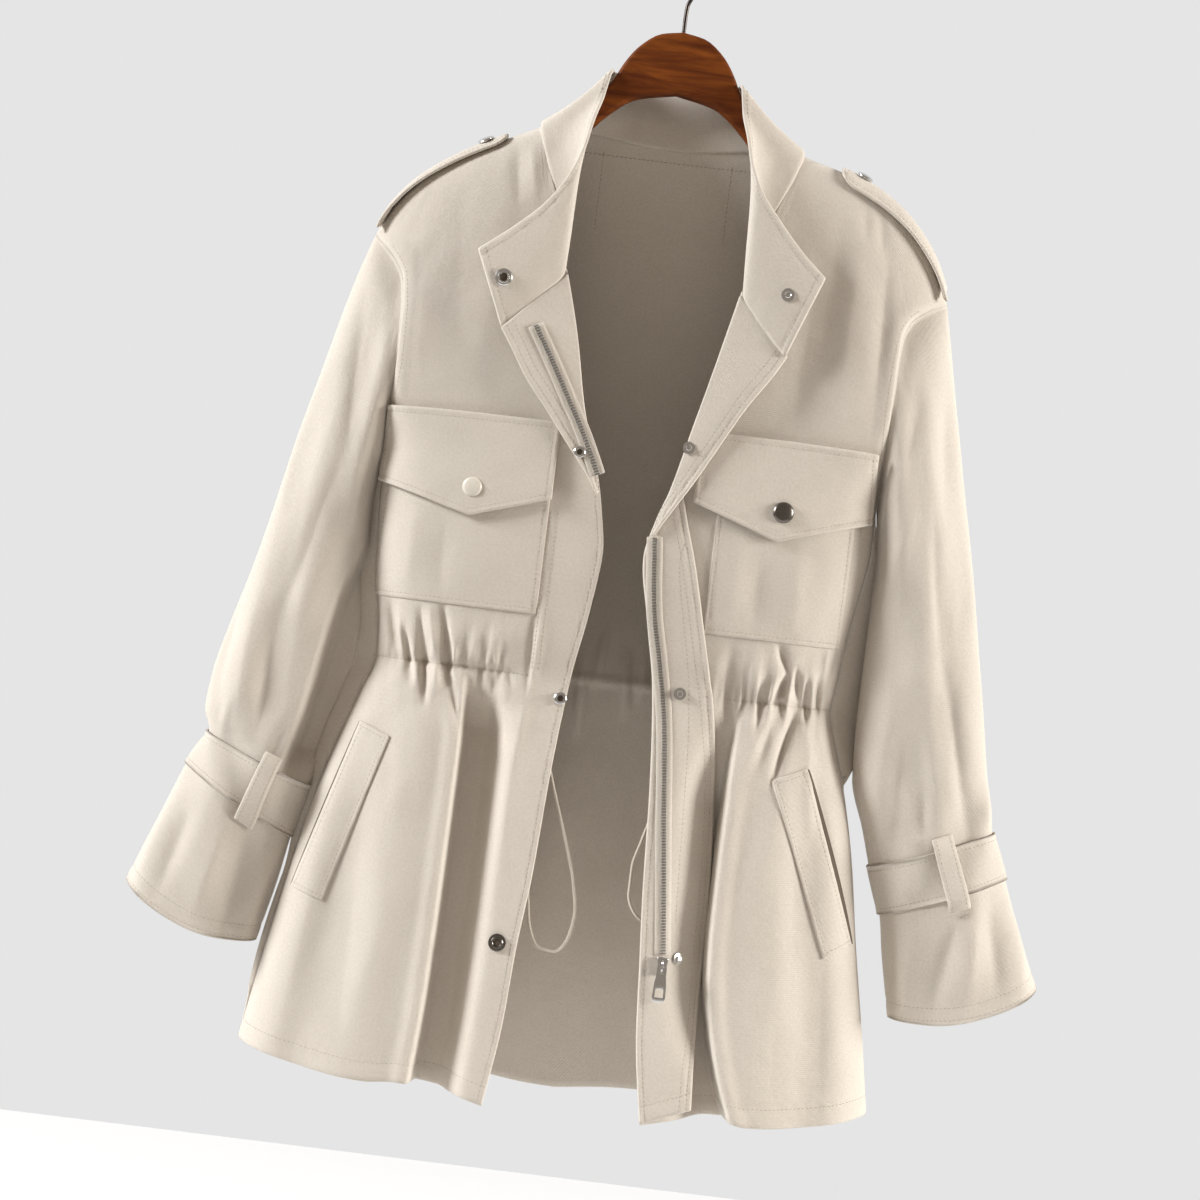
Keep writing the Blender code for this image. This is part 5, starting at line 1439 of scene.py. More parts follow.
    def epaulet(self, side: Side) -> None:
        """Builds a shoulder strap, laid over the ridge and rounded at its snapped end."""
        strap = self.epaulets[side]
        t = np.linspace(0, 1, 46)[None, :]
        q = np.concatenate([-np.linspace(1, 0.03, 14), np.linspace(0.03, 1, 12)])[:, None]
        narrow = np.sqrt(1 - np.clip((t - 0.88) / 0.12, 0, 1) ** 2 * 0.8)
        x = side.value * mix(strap.tip_x, strap.end_x, t)
        grid = self.over_ridge(x, q * np.where(q > 0, strap.front, strap.back) * narrow,
            (self.epaulet_lift + self.epaulet_wall + self.epaulet_gape * np.clip(q, 0, 1) ** 2 * (1 - t) ** 1.5)[...,
                None])
        if side is Side.RIGHT:
            grid = grid[:, ::-1]
        panel = self.shop.cloth(f"epaulet_{side.word}_cloth", grid, self.epaulet_wall, nodes=[f"epaulet_{side.word}"],
            rests_on=[f"front_{side.word}_cloth"], lining=False, grooves=[("top", 4), ("foot", 4)])
        tip = "right" if side is Side.LEFT else "left"
        self.shop.stitches(f"epaulet_{side.word}_stitches",
            [panel.inset("top", 4), panel.inset("foot", 4), panel.inset(tip, 4)])

    def patch(self, name: str, node: str, x: Array, drop: Array, lift: Array | float, wall: float,
        insets: Sequence[tuple[str, float]]) -> Panel:
        """Builds a piece that lies on the front.

        Args:
            name: The piece's name, without what it is made of.
            node: The node that it replaces.
            x: Its points' places across.
            drop: Their places down.
            lift: How far its inner face stands off the front.
            wall: Its thickness.
            insets: The edges that are stitched, and how far in.

        Returns:
            The piece and its surface.
        """
        grid = self.form.on_body(Face.FRONT, x, drop, lift + wall)[0]
        side = "left" if x.mean() < 0 else "right"
        panel = self.shop.cloth(f"{name}_cloth", grid, wall, nodes=[node], rests_on=[f"front_{side}_cloth"],
            grooves=insets)
        self.shop.stitches(f"{name}_stitches", [panel.inset(edge, far) for edge, far in insets])
        return panel

    def pockets_and_flaps(self, side: Side) -> None:
        """Builds a chest pocket and its pointed flap."""
        box = self.pockets[side]
        name = f"chest_pocket_{side.word}"
        x, drop = np.meshgrid(np.linspace(box.x0, box.x1, 60), np.linspace(box.top, box.foot, 64))
        self.patch(name, name, x, drop, self.pocket_lift, self.patch_wall, [("left", 3), ("right", 3), ("foot", 3.5)])
        box, point = self.flaps[side], self.flap_points[side]
        xs = np.concatenate([np.linspace(box.x0, point.x, 30, endpoint=False),
            np.linspace(point.x, box.x1, 31)])[None, :]
        slope = mix(box.foot, point.drop, 1 - np.abs(xs - point.x) / np.where(xs < point.x, point.x - box.x0,
            box.x1 - point.x))
        v = np.linspace(0, 1, 34)[:, None]
        name = f"pocket_flap_{side.word}"
        lift = self.flap_lift + 1.2 * v + 0.35 * v * np.sin(xs / 9)
        self.patch(name, name, np.broadcast_to(xs, (34, 61)), mix(box.top, slope, v), lift, self.flap_wall,
            [("left", 4), ("right", 4), ("foot", 4), ("top", 4)])

    def welt(self, side: Side) -> None:
        """Builds a slanted welt of a hip pocket, and a dark strip of painted shade in the pocket's opening beside it.
        """
        ends = self.welts[side]
        upper, lower = sorted((ends.top_outer, ends.top_inner)), sorted((ends.foot_outer, ends.foot_inner))
        u, v = np.linspace(0, 1, 14)[None, :], np.linspace(0, 1, 60)[:, None]
        x = mix(mix(upper[0].x, upper[1].x, u), mix(lower[0].x, lower[1].x, u), v)
        drop = mix(mix(upper[0].drop, upper[1].drop, u), mix(lower[0].drop, lower[1].drop, u), v)
        name = f"hip_welt_{side.word}"
        self.patch(name, name, x, drop, self.welt_lift, self.welt_wall,
            [("left", 3), ("right", 3), ("top", 3), ("foot", 3)])
        # A narrow strip of near-black painted shade along the welt's outer edge stands for the shade in the pocket's
        # opening.
        hand = side.value
        u, v = np.linspace(0, 1, 5)[None, :], np.linspace(0, 1, 60)[:, None]
        width = self.slit[side] * np.sin(np.pi * np.clip(v * 0.94 + 0.03, 0, 1)) ** 0.5 + 0.2
        edge_x, edge_drop = mix(ends.top_outer.x, ends.foot_outer.x, v), mix(ends.top_outer.drop,
            ends.foot_outer.drop, v)
        x = edge_x + hand * (0.4 + width * (u if side is Side.RIGHT else 1 - u))
        grid = self.form.on_body(Face.FRONT, x, np.broadcast_to(edge_drop, x.shape), self.slit_lift)[0]
        slit = self.shop.mesh(f"hip_slit_{side.word}", grid.reshape(-1, 3), grid_faces(60, 5))
        self.shop.register(slit, [self.shop.shade], "twill")

    def build(self) -> None:
        """Builds them all."""
        for side in Side:
            self.turned_strip(side)
            self.epaulet(side)
            self.pockets_and_flaps(side)
            self.welt(side)
        self.placket()


@dataclass
class Zips:
    """The metal zip: tapes, teeth, slider and pull tab."""

    form: CoatForm
    trims: Trims
    shop: Workshop
    tooth: tuple = (4.4, 1.2, 1.5)
    pitch: float = 2.1
    slim: float = 0.8
    tab_thick: float = 1.3
    tape: float = 11.0
    lines: dict = field(default_factory=lambda: {
        Side.LEFT: (Spot(-80, 300), Spot(-64, 326), Spot(-50, 350), Spot(-38, 370.5), Spot(-27.5, 391.5),
            Spot(-23, 401)),
        Side.RIGHT: (Spot(23.2, 440), Spot(29, 490), Spot(38, 530), Spot(46, 570), Spot(54, 640), Spot(60, 692),
            Spot(65, 736)),
    })
    slider: Spot = Spot(65.5, 743.0)

    def carried(self, side: Side, x: Array, drop: Array, lift: float) -> tuple[Array, Array]:
        """Returns points on the strip that carries a zip, and their normals."""
        if side is Side.LEFT:
            return self.form.on_body(Face.FRONT, x, drop,
                self.trims.turned_lift + self.form.wall + lift + self.form.turned_rise(side, x, drop))
        return self.form.on_placket(x, drop, lift)

    def one_tooth(self) -> tuple[Array, list]:
        """Models one tooth by hand and returns its points and faces, in millimetres."""
        deselect()
        bpy.ops.mesh.primitive_cube_add(size=1, location=(0, 0, 0))
        obj = bpy.context.object
        obj.scale = Vector(self.tooth) * MM
        bpy.ops.object.transform_apply(scale=True)
        bpy.ops.object.mode_set(mode="EDIT")
        bpy.ops.mesh.select_all(action="SELECT")
        bpy.ops.mesh.bevel(offset=0.28 * MM, segments=1)
        bpy.ops.object.mode_set(mode="OBJECT")
        points = np.array([v.co for v in obj.data.vertices]) / MM
        faces = [tuple(p.vertices) for p in obj.data.polygons]
        bpy.data.objects.remove(obj)
        return points, faces

    def teeth(self, side: Side) -> None:
        """Copies the tooth down one side of the zip, with its tape behind."""
        t = np.linspace(0, 1, 400)
        x, drop = along(self.lines[side], t)
        line, normals = self.carried(side, x, drop, 1.5)
        run = np.concatenate([[0], np.cumsum(np.linalg.norm(np.diff(line, axis=0), axis=1))])
        shape, faces_of = self.one_tooth()
        points, faces = [], []
        for at in np.arange(1, run[-1], self.pitch):
            place, ahead, normal = (np.array([np.interp(s, run, c) for c in table.T]) for s,
                table in ((at, line), (at + 0.5, line), (at, normals)))
            way = (ahead - place) / max(np.linalg.norm(ahead - place), 1e-9)
            cross = np.cross(normal, way)
            base = len(points) * len(shape)
            points.append(place + shape[:, :1] * self.slim * cross + shape[:, 1:2] * way + shape[:, 2:] * normal)
            faces += [tuple(base + i for i in f) for f in faces_of]
        obj = self.shop.mesh(f"zip_{side.word}_teeth", np.concatenate(points), faces)
        obj.data.shade_flat()
        outward(obj)
        # The teeth use the darker zip metal, which paints the shade among them.
        self.shop.register(obj, [self.shop.zip_metal], "snap_metal", [f"zip_{side.word}"])
        s = np.linspace(0, 1, 60)
        x, drop = along(self.lines[side], s)
        slant = np.gradient(x) / np.gradient(drop)
        off = np.linspace(-self.tape / 2, self.tape / 2, 6)
        grid_x = x[:, None] + off / np.sqrt(1 + slant[:, None] ** 2)
        grid_drop = drop[:, None] - off * slant[:, None] / np.sqrt(1 + slant[:, None] ** 2)
        grid = self.carried(side, grid_x, grid_drop, 0.75)[0]
        self.shop.cloth(f"zip_{side.word}_tape", grid, 0.6,
            rests_on=["placket_right_cloth" if side is Side.RIGHT else "turned_edge_left_cloth"])

    def slider_and_pull(self) -> None:
        """Models the slider with its bail, and the pull tab that hinges in it."""
        seat, _ = self.form.on_placket(np.array(self.slider.x), np.array(self.slider.drop), 0.9)
        x, y, z = self.slider.x, float(seat[1]), -self.slider.drop
        deselect()
        bpy.ops.mesh.primitive_cube_add(size=1, location=(x * MM, (y - 2.5) * MM, z * MM))
        body = bpy.context.object
        body.name = "zip_slider_body"
        body.scale = Vector((8.5, 5.0, 12)) * MM
        bpy.ops.object.transform_apply(location=True, scale=True)
        bpy.ops.object.mode_set(mode="EDIT")
        bpy.ops.mesh.select_mode(type="VERT")
        bpy.ops.mesh.select_all(action="DESELECT")
        bpy.ops.object.mode_set(mode="OBJECT")
        for vertex in body.data.vertices:
            vertex.select = vertex.co.z < z * MM
        bpy.ops.object.mode_set(mode="EDIT")
        bpy.ops.transform.resize(value=(0.62, 1, 1), center_override=(x * MM, y * MM, z * MM))
        bpy.ops.mesh.select_all(action="SELECT")
        bpy.ops.mesh.bevel(offset=1.1 * MM, segments=4)
        bpy.ops.mesh.normals_make_consistent(inside=False)
        bpy.ops.object.mode_set(mode="OBJECT")
        bpy.ops.object.shade_smooth_by_angle(angle=math.radians(40))
        body.select_set(False)
        self.shop.register(body, [self.shop.steel], "snap_metal", ["zip_slider"])
        arch = [(-4.4, 4.2), (-7.2, 3.6), (-8.4, 1.6), (-8.4, -1.6), (-7.2, -3.6), (-4.4, -4.2)]
        path = [(x, y + a, z + b) for a, b in arch]
        bail = tube_mesh(self.shop, "zip_slider_bail", path, 0.75, 12, 36)
        self.shop.register(bail, [self.shop.steel], "snap_metal")
        pivot = (x, y - 6.5, z)
        deselect()
        bpy.ops.mesh.primitive_plane_add(size=1, location=(0, 0, 0))
        tab = bpy.context.object
        tab.name = "zip_pull_tab"
        points, faces = plate_with_windows(pull_outline(), self.tab_thick)
        data = bpy.data.meshes.new("zip_pull_tab")
        data.from_pydata([(Vector((a, b, c)) + Vector((pivot[0], pivot[1], pivot[2]))) * MM for a, b, c in points],
            [], faces)
        tab.data = data
        bpy.ops.object.mode_set(mode="EDIT")
        bpy.ops.mesh.select_all(action="SELECT")
        bpy.ops.mesh.remove_doubles(threshold=1e-6)
        bpy.ops.mesh.normals_make_consistent(inside=False)
        bpy.ops.object.mode_set(mode="OBJECT")
        rim = tab.modifiers.new("Rim", "BEVEL")
        rim.width = 0.25 * MM
        rim.segments = 2
        rim.angle_limit = math.radians(50)
        bpy.ops.object.modifier_apply(modifier="Rim")
        bpy.ops.object.shade_smooth_by_angle(angle=math.radians(40))
        tab.select_set(False)
        self.shop.register(tab, [self.shop.steel], "snap_metal", ["zip_pull"], body=TAB)

    def build(self) -> None:
        """Builds the zip."""
        for side in Side:
            self.teeth(side)
        self.slider_and_pull()


def pull_outline() -> list[tuple[float, float]]:
    """Returns the pull tab's outline below its hinge, as (x, z) in millimetres, the way of a clock's hands."""
    half = [(2.9, 1.2), (3.5, -1.5), (3.5, -7.0), (4.4, -13.0), (4.8, -22.5), (3.8, -25.4), (1.6, -26.2)]
    return half + [(-x, z) for x, z in reversed(half)]


def rounded_box(half_x: float, top: float, foot: float, radius: float, steps: int = 3) -> list[tuple[float, float]]:
    """Returns a window's outline with rounded corners, as (x, z) in millimetres."""
    points = []
    for cx, cz, start in ((half_x - radius, top - radius, 90), (half_x - radius, foot + radius, 0),
        (-half_x + radius, foot + radius, -90), (-half_x + radius, top - radius, 180)):
        for k in range(steps + 1):
            angle = math.radians(start - 90 * k / steps)
            points.append((cx + radius * math.cos(angle), cz + radius * math.sin(angle)))
    return points


def plate_with_windows(outline: Sequence[tuple[float, float]], thick: float) -> tuple[list, list]:
    """Makes a flat plate with the pull tab's two windows.

    Args:
        outline: Its outline.
        thick: Its thickness.

    Returns:
        Its points and faces, in millimetres, with its middle on y = 0.
    """
    loops = [list(outline), rounded_box(2.1, -0.7, -5.6, 1.0), rounded_box(2.9, -16.4, -22.4, 1.2)]
    flat = [Vector((x, z, 0)) for loop in loops for x, z in loop]
    triangles = tessellate_polygon([[Vector((x, z, 0)) for x, z in loop] for loop in loops])
    points = [(p.x, -thick / 2, p.y) for p in flat] + [(p.x, thick / 2, p.y) for p in flat]
    count = len(flat)
    faces = [tuple(t) for t in triangles] + [tuple(i + count for i in reversed(t)) for t in triangles]
    base = 0
    for loop in loops:
        size = len(loop)
        for i in range(size):
            a, b = base + i, base + (i + 1) % size
            faces.append((a, b, b + count, a + count))
        base += size
    return points, faces


def tube_mesh(shop: Workshop, name: str, path: Sequence[Sequence[float]], radius: float, sides: int, steps: int,
    twist: float = 0.0, ridge: float = 0.0) -> bpy.types.Object:
    """Makes a closed tube along a smooth path.

    Args:
        shop: The workshop.
        name: The tube's name.
        path: Its points, in millimetres.
        radius: Its radius.
        sides: Its sides.
        steps: Its rings.
        twist: Turns of its ridges over each millimetre.
        ridge: How far two ridges rise.

    Returns:
        The tube.
    """
    path = np.asarray(path, float)
    keys = np.concatenate([[0], np.cumsum(np.linalg.norm(np.diff(path, axis=0), axis=1))])
    at = np.linspace(0, keys[-1], steps)
    centre = smooth_stack(keys, path, at)
    way = np.gradient(centre, axis=0)
    way /= np.linalg.norm(way, axis=1, keepdims=True)
    frame_x = np.cross(way[0], (0.31, 0.92, 0.13))
    frame_x /= np.linalg.norm(frame_x)
    rings, uvs = [], []
    angle = np.linspace(0, math.tau, sides, endpoint=False)
    for i in range(steps):
        frame_x = frame_x - way[i] * frame_x.dot(way[i])
        frame_x /= np.linalg.norm(frame_x)
        frame_y = np.cross(way[i], frame_x)
        size = radius + ridge * np.cos(2 * (angle - math.tau * twist * at[i]))
        rings.append(centre[i] + (np.cos(angle) * size)[:, None] * frame_x + (np.sin(angle) * size)[:,
            None] * frame_y)
        uvs.append(np.stack([angle / math.tau * math.tau * radius, np.full(sides, at[i])], -1) * MM)
    points = np.concatenate(rings + [centre[:1], centre[-1:]])
    index = np.arange(steps * sides).reshape(steps, sides)
    right = np.roll(index, -1, 1)
    faces = [tuple(f) for f in np.stack([index[:-1], right[:-1], right[1:], index[1:]], -1).reshape(-1, 4)]
    first, last = steps * sides, steps * sides + 1
    faces += [(first, right[0, j], index[0, j]) for j in range(sides)] + [(last, index[-1, j],
        right[-1, j]) for j in range(sides)]
    uv = np.concatenate(uvs + [np.zeros((2, 2))])
    obj = shop.mesh(name, points, faces, uv)
    outward(obj)
    return obj


@dataclass
class Snaps:
    """The press snaps: caps, sockets and studs."""

    form: CoatForm
    trims: Trims
    shop: Workshop
    # Sizes of the discs of painted shade in sockets, as fractions of their radius.
    eyes: dict = field(default_factory=lambda: {"snap_left_4": 0.39})
    collar_lift: float = 1.55

    def cap(self, name: str, radius: float, thick: float) -> bpy.types.Object:
        """Returns a domed cap with a rolled rim."""
        dome = [(radius * math.cos(a), thick * 0.45 + thick * 0.55 * math.sin(a)) for a in np.linspace(0.35, 1.5, 7)]
        return turned(name, [(radius * 0.93, 0), (radius, thick * 0.2), (radius, thick * 0.36),
            (radius * 0.95, thick * 0.5)] + [(r * 0.95, h) for r, h in dome] + [(0.2, thick)])

    def socket(self, name: str, radius: float, thick: float) -> bpy.types.Object:
        """Returns a ring-shaped socket with a sunk middle."""
        return turned(name, [
            (radius * 0.94, 0), (radius, thick * 0.3), (radius * 0.97, thick * 0.6), (radius * 0.86, thick * 0.75),
            (radius * 0.7, thick * 0.7),
            (radius * 0.62, thick * 0.95), (radius * 0.5, thick), (radius * 0.43, thick * 0.8),
            (radius * 0.4, thick * 0.3), (radius * 0.05, thick * 0.25),
        ])

    def stud(self, name: str, radius: float, thick: float) -> bpy.types.Object:
        """Returns a stud with a knob in its middle."""
        return turned(name, [
            (radius * 0.95, 0), (radius, thick * 0.2), (radius * 0.95, thick * 0.38), (radius * 0.6, thick * 0.45),
            (radius * 0.44, thick * 0.5),
            (radius * 0.4, thick * 0.65), (radius * 0.46, thick * 0.85), (radius * 0.38, thick),
            (radius * 0.05, thick * 1.02),
        ])

    def collar_seat(self, side: Side, section: float, fraction: float) -> tuple[Array, Array]:
        """Returns the point and outward normal on the collar leaf's face that shows."""
        leaves = COLLAR_LEAVES[side]
        keys = np.arange(len(leaves), dtype=float)
        tops = np.array([(side.value * leaf.top_x, leaf.top_y, -leaf.top_drop) for leaf in leaves], float)
        lows = np.array([(side.value * leaf.low_x, leaf.low_y, -leaf.low_drop) for leaf in leaves], float)

        def at(s: float, f: float) -> Array:
            """Returns the leaf's point at section s and fraction f of its depth."""
            return mix(smooth_stack(keys, tops, np.array([s]))[0], smooth_stack(keys, lows, np.array([s]))[0], f)

        normal = np.cross(at(section + 0.1, fraction) - at(section - 0.1, fraction),
            at(section, fraction + 0.1) - at(section, fraction - 0.1))
        normal /= np.linalg.norm(normal)
        if normal[1] > 0:
            normal = -normal
        return at(section, fraction) + normal * (self.collar_lift + Collar.bulge
            * math.sin(math.pi * fraction)), normal

    def build(self) -> None:
        """Builds and seats all the snaps."""
        flap = self.trims.flap_lift + self.trims.flap_wall + 1.35
        turn = self.trims.turned_lift + self.form.wall
        shop, form = self.shop, self.form
        table = (
            ("snap_flap_left", self.cap, -110.5, 420, flap, 7.0, 2.2, shop.cap, "cap_plastic"),
            ("snap_flap_right", self.cap, 112, 411.5, flap, 7.6, 3.2, shop.dark_steel, "snap_metal"),
            ("snap_left_2", self.socket, -37.6, 386.5, turn + 0.3, 4.3, 1.8, shop.steel, "snap_metal"),
            ("snap_right_2", self.stud, 39.5, 374, self.trims.turned_lift + 1.7, 4.6, 2.4, shop.steel, "snap_metal"),
            ("snap_left_3", self.socket, -30, 563.5, 0.7, 4.6, 2.0, shop.steel, "snap_metal"),
            ("snap_right_3", self.stud, 55, 549.5, 1.1, 4.6, 2.6, shop.steel, "snap_metal"),
            ("snap_left_4", self.socket, -53.5, 741.5, 0.7, 6.4, 1.6, shop.dark_steel, "snap_metal"),
            ("snap_right_4", self.stud, 76, 738, 0.6, 4.2, 2.6, shop.steel, "snap_metal"),
        )
        for node, make, x, drop, lift, radius, thick, metal, slot in table:
            on_strip = node in ("snap_right_3", "snap_right_4")
            rise = form.turned_rise(Side.LEFT if x < 0 else Side.RIGHT, x, drop) if node.endswith("_2") else 0
            surface = form.on_placket if on_strip else lambda a, b, c: form.on_body(Face.FRONT, a, b, c)
            centre, normal = surface(np.array(x, float), np.array(drop, float), lift - 0.5 + rise)
            self.seat(node, make, centre, normal, radius, thick + 0.5, metal, slot)
            # Sockets get a dark disc of painted shade in their hollow middle.
            if make == self.socket:
                self.eye(node, centre, normal, radius * self.eyes.get(node, 0.4), (thick + 0.5) * 0.36)
        for side, node, section, fraction, radius, make in ((Side.LEFT, "snap_left_1", 0.45, 0.5, 6.4, self.socket),
            (Side.RIGHT, "snap_right_1", 0.9, 0.5, 5.0, self.stud)):
            centre, normal = self.collar_seat(side, section, fraction)
            self.seat(node, make, centre, normal, radius, 2.6, shop.steel, "snap_metal")
            # The collar's socket gets a dark disc of painted shade in its middle.
            if make == self.socket:
                self.eye(node, centre, normal, radius * 0.42, 0.95)
        for side in Side:
            strap = self.trims.epaulets[side]
            x = side.value * strap.snap_x
            top = float(form.ridge(x)) - self.trims.epaulet_lift - self.trims.epaulet_wall - 0.7
            slope = math.atan2(float(form.ridge(x + side.value * 6) - form.ridge(x - side.value * 6)), 12)
            normal = Vector((side.value * math.sin(slope), -0.25, math.cos(slope))).normalized()
            self.seat(f"snap_epaulet_{side.word}", self.cap, (x, -1.5, -top), normal, 6.2, 2.6, shop.steel,
                "snap_metal")

    def eye(self, node: str, centre: Sequence[float], normal: Sequence[float], radius: float, height: float) -> None:
        """Sets a dark disc in a socket's middle, painted shade that stands for its hole.

        Args:
            node: The snap's node.
            centre: The snap's seat.
            normal: The way it faces.
            radius: The hole's radius.
            height: How far its face stands above the seat.
        """
        obj = turned(f"{node}_eye", [(radius, 0), (radius, 0.15), (radius * 0.8, 0.25), (0.05, 0.25)], 24)
        place_on(obj, [c + n * height for c, n in zip(centre, normal)], normal)
        self.shop.register(obj, [self.shop.shade], "snap_metal")

    def seat(self, node: str, make: Callable, centre: Sequence[float], normal: Sequence[float], radius: float,
        thick: float, metal: bpy.types.Material, slot: str) -> None:
        """Makes one snap and moves it to its seat."""
        obj = make(f"{node}_piece", radius, thick)
        place_on(obj, centre, normal)
        self.shop.register(obj, [metal], slot, [node])


@dataclass
class Hanger:
    """The wooden yoke and its wire hook."""

    shop: Workshop
    top: tuple = (Spot(0, 69), Spot(16, 72), Spot(32, 84), Spot(42, 99), Spot(47, 109.5), Spot(60, 124),
        Spot(95, 158.5), Spot(120, 173), Spot(150, 191), Spot(172, 211), Spot(181, 225))
    foot: tuple = (Spot(175, 236), Spot(150, 218), Spot(110, 198), Spot(75, 168), Spot(50, 138), Spot(28, 121.5),
        Spot(0, 115.5))
    thick: float = 11.0
    wire: float = 1.5
    radius: float = 19.0

    def yoke(self) -> None:
        """Models the yoke: a disc pulled to its outline, extruded and rounded."""
        t = np.linspace(0, 1, 41)
        top, foot = np.stack(along(self.top, t), -1), np.stack(along(self.foot, t), -1)
        half = np.concatenate([top, foot])
        half = np.array([p for i, p in enumerate(half) if i == 0 or np.linalg.norm(p - half[i - 1]) > 0.4])
        outline = np.concatenate([half, half[-2:0:-1] * (-1, 1)])
        deselect()
        bpy.ops.mesh.primitive_circle_add(vertices=len(outline), radius=0.1, fill_type="NGON", location=(0, 0, 0))
        obj = bpy.context.object
        obj.name = "hanger_yoke_wood"
        for vertex, (x, drop) in zip(obj.data.vertices, outline):
            vertex.co = Vector((x, self.thick / 2, -drop)) * MM
        bpy.ops.object.mode_set(mode="EDIT")
        bpy.ops.mesh.select_all(action="SELECT")
        bpy.ops.mesh.extrude_region_move(TRANSFORM_OT_translate={"value": (0, -self.thick * MM, 0)})
        bpy.ops.mesh.select_all(action="SELECT")
        bpy.ops.mesh.normals_make_consistent(inside=False)
        bpy.ops.object.mode_set(mode="OBJECT")
        rim = obj.modifiers.new("Rim", "BEVEL")
        rim.width = 3.2 * MM
        rim.segments = 5
        rim.angle_limit = math.radians(50)
        bpy.ops.object.modifier_apply(modifier="Rim")
        bpy.ops.object.shade_smooth_by_angle(angle=math.radians(40))
        obj.select_set(False)
        self.shop.register(obj, [self.shop.wood], "hanger_wood", ["hanger_yoke"])

    def hook(self) -> None:
        """Builds the wire hook, whose crown has its underside at the origin."""
        bend = [(self.radius * math.sin(math.radians(a)), 0,
            -self.radius + self.radius * math.cos(math.radians(a))) for a in range(-100, 151, 5)]
        stem = [(2.4, 0, -44), (0.4, 0, -50), (0, 0, -58), (0, 0, -71)]
        path = [(x, y, z + self.wire) for x, y, z in bend] + stem
        obj = tube_mesh(self.shop, "hanger_hook_wire", path, self.wire, 20, 150)
        self.shop.register(obj, [self.shop.wire], "hook_wire", ["hanger_hook"])

    def build(self) -> None:
        """Builds the hanger."""
        self.yoke()
        self.hook()


@dataclass
class Cords:
    """The two loops of the waist's drawcord, which hang in the opening."""

    form: CoatForm
    shop: Workshop
    diameter: float = 2.4
    routes: dict = field(default_factory=lambda: {
        "cord_left": (
            Route(-44, 3.4, 558), Route(-41, 4, 585), Route(-33, 5, 610), Route(-24, 6, 636), Route(-14, 7, 664),
            Route(-5, 8, 692),
            Route(-1, 8, 715), Route(-4, 8, 734), Route(-13, 8, 744), Route(-24, 8, 742), Route(-32, 8, 728),
            Route(-36, 7, 706),
            Route(-42, 6, 670), Route(-48, 5, 625), Route(-53, 4, 585), Route(-56, 3.4, 558),
        ),
        "cord_right": (
            Route(57, 3.4, 558), Route(55, 4, 590), Route(49, 5, 625), Route(41, 6, 656), Route(36, 6, 678),
            Route(36, 6, 696),
            Route(43, 6, 711), Route(53, 6, 716), Route(61, 6, 704), Route(66, 6, 676), Route(69, 5, 630),
            Route(70, 4, 590), Route(70, 3.4, 558),
        ),
    })

    def build(self) -> None:
        """Builds both loops."""
        for node, route in self.routes.items():
            x, behind, drop = along(route, np.linspace(0, 1, 90))
            path = np.stack([x, self.form.body_y(Face.FRONT, x, drop) + behind, -drop], -1)
            obj = tube_mesh(self.shop, f"{node}_braid", path, self.diameter / 2 - 0.08, 14, 420, twist=0.16,
                ridge=0.1)
            self.shop.register(obj, [self.shop.cord], "cord", [node])


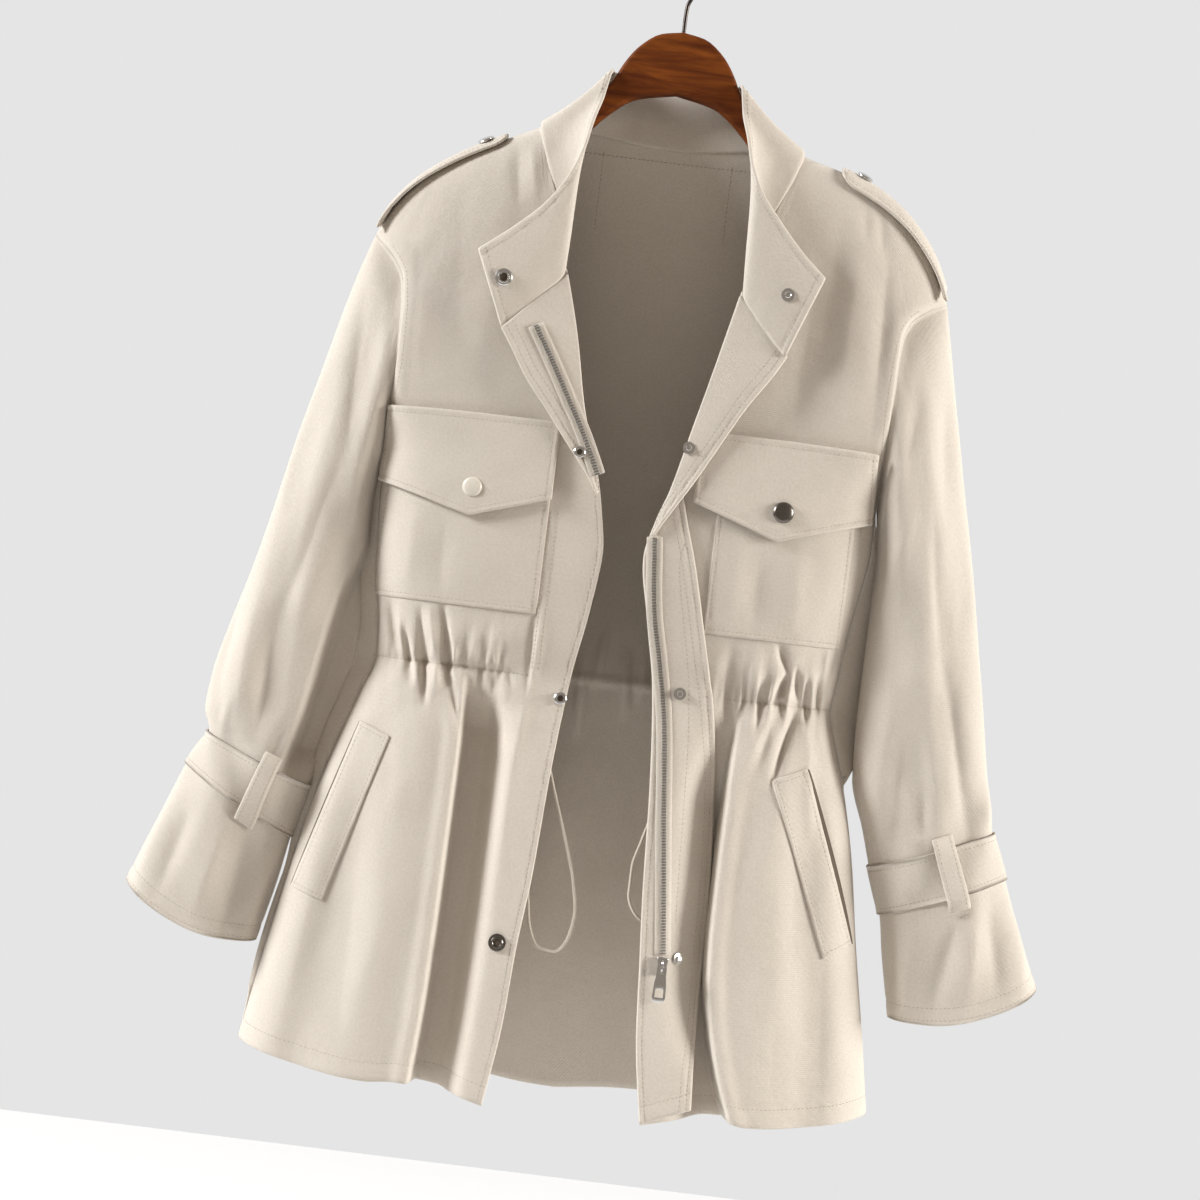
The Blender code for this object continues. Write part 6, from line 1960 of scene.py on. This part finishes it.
@dataclass
class Studio:
    """The camera, the pale floor and the soft lights."""

    camera_at: tuple = (-0.01027, -2.08, -0.48946)
    roll: float = 7.0
    backdrop: float = 0.783
    room: tuple = (0.315, 0.276, 0.238)

    def build(self) -> None:
        """Sets up the scene round the coat."""
        scene = bpy.context.scene
        world = bpy.data.worlds.new("studio")
        scene.world = world
        world.use_nodes = True
        tree = world.node_tree
        place = tree.nodes.new("ShaderNodeTexCoord")
        split = tree.nodes.new("ShaderNodeSeparateXYZ")
        tree.links.new(place.outputs["Generated"], split.inputs[0])
        ramp = tree.nodes.new("ShaderNodeMapRange")
        ramp.interpolation_type = "SMOOTHSTEP"
        ramp.inputs["From Min"].default_value, ramp.inputs["From Max"].default_value = -0.3, 0.5
        tree.links.new(split.outputs["Y"], ramp.inputs["Value"])
        tint = tree.nodes.new("ShaderNodeMix")
        tint.data_type = "RGBA"
        tint.inputs["A"].default_value, tint.inputs["B"].default_value = (*self.room, 1), (*(self.backdrop,) * 3, 1)
        tree.links.new(ramp.outputs["Result"], tint.inputs["Factor"])
        tree.links.new(tint.outputs["Result"], tree.nodes["Background"].inputs["Color"])
        c, s = math.cos(math.radians(self.roll)), math.sin(math.radians(self.roll))
        data = bpy.data.cameras.new("camera")
        data.lens, data.sensor_width = 85, 36
        data.clip_start = 0.01
        camera = bpy.data.objects.new("camera", data)
        scene.collection.objects.link(camera)
        right, up, back = Vector((c, 0, s)), Vector((-s, 0, c)), Vector((0, -1, 0))
        camera.matrix_world = Matrix.Translation(Vector(self.camera_at)) @ Matrix((right, up,
            back)).transposed().to_4x4()
        scene.camera = camera
        for name, place, aim, size, power, colour in (
            ("key", (-5.2, -1.35, 1.9), (0, 0, -0.45), 2.0, 460, (0.96, 0.98, 1.0)),
            ("side", (5.0, -0.95, 0.6), (0, 0, -0.5), 2.0, 345, (1.0, 0.985, 0.96)),
        ):
            light = bpy.data.lights.new(name, "AREA")
            light.shape, light.size, light.energy, light.color = "DISK", size, power, colour
            obj = bpy.data.objects.new(name, light)
            obj.location = place
            obj.rotation_euler = (Vector(aim) - Vector(place)).to_track_quat("-Z", "Y").to_euler()
            scene.collection.objects.link(obj)
        deselect()
        bpy.ops.mesh.primitive_plane_add(size=2.4, location=(0, 0.2, -1.2))
        floor = bpy.context.object
        floor.name = "floor"
        pale = bpy.data.materials.new("pale floor")
        pale.use_nodes = True
        pale.node_tree.nodes["Principled BSDF"].inputs["Base Color"].default_value = (0.8, 0.8, 0.8, 1)
        floor.data.materials.append(pale)
        floor.select_set(False)
        scene.view_settings.view_transform = "Standard"


def main() -> None:
    """Builds the looks of the coat over the frame and reports each piece."""
    logging.basicConfig(level=logging.INFO, format="%(name)s %(message)s")
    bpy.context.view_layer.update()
    form = CoatForm()
    shop = Workshop()
    body = Body(form, shop)
    body.front(Side.LEFT)
    body.front(Side.RIGHT)
    body.back()
    sleeves = Sleeves(form, shop)
    for side in Side:
        sleeves.build(side)
    Collar(form, shop).build()
    trims = Trims(form, shop)
    trims.build()
    Zips(form, trims, shop).build()
    Snaps(form, trims, shop).build()
    Hanger(shop).build()
    Cords(form, shop).build()
    Studio().build()


if __name__ == "__main__":
    main()
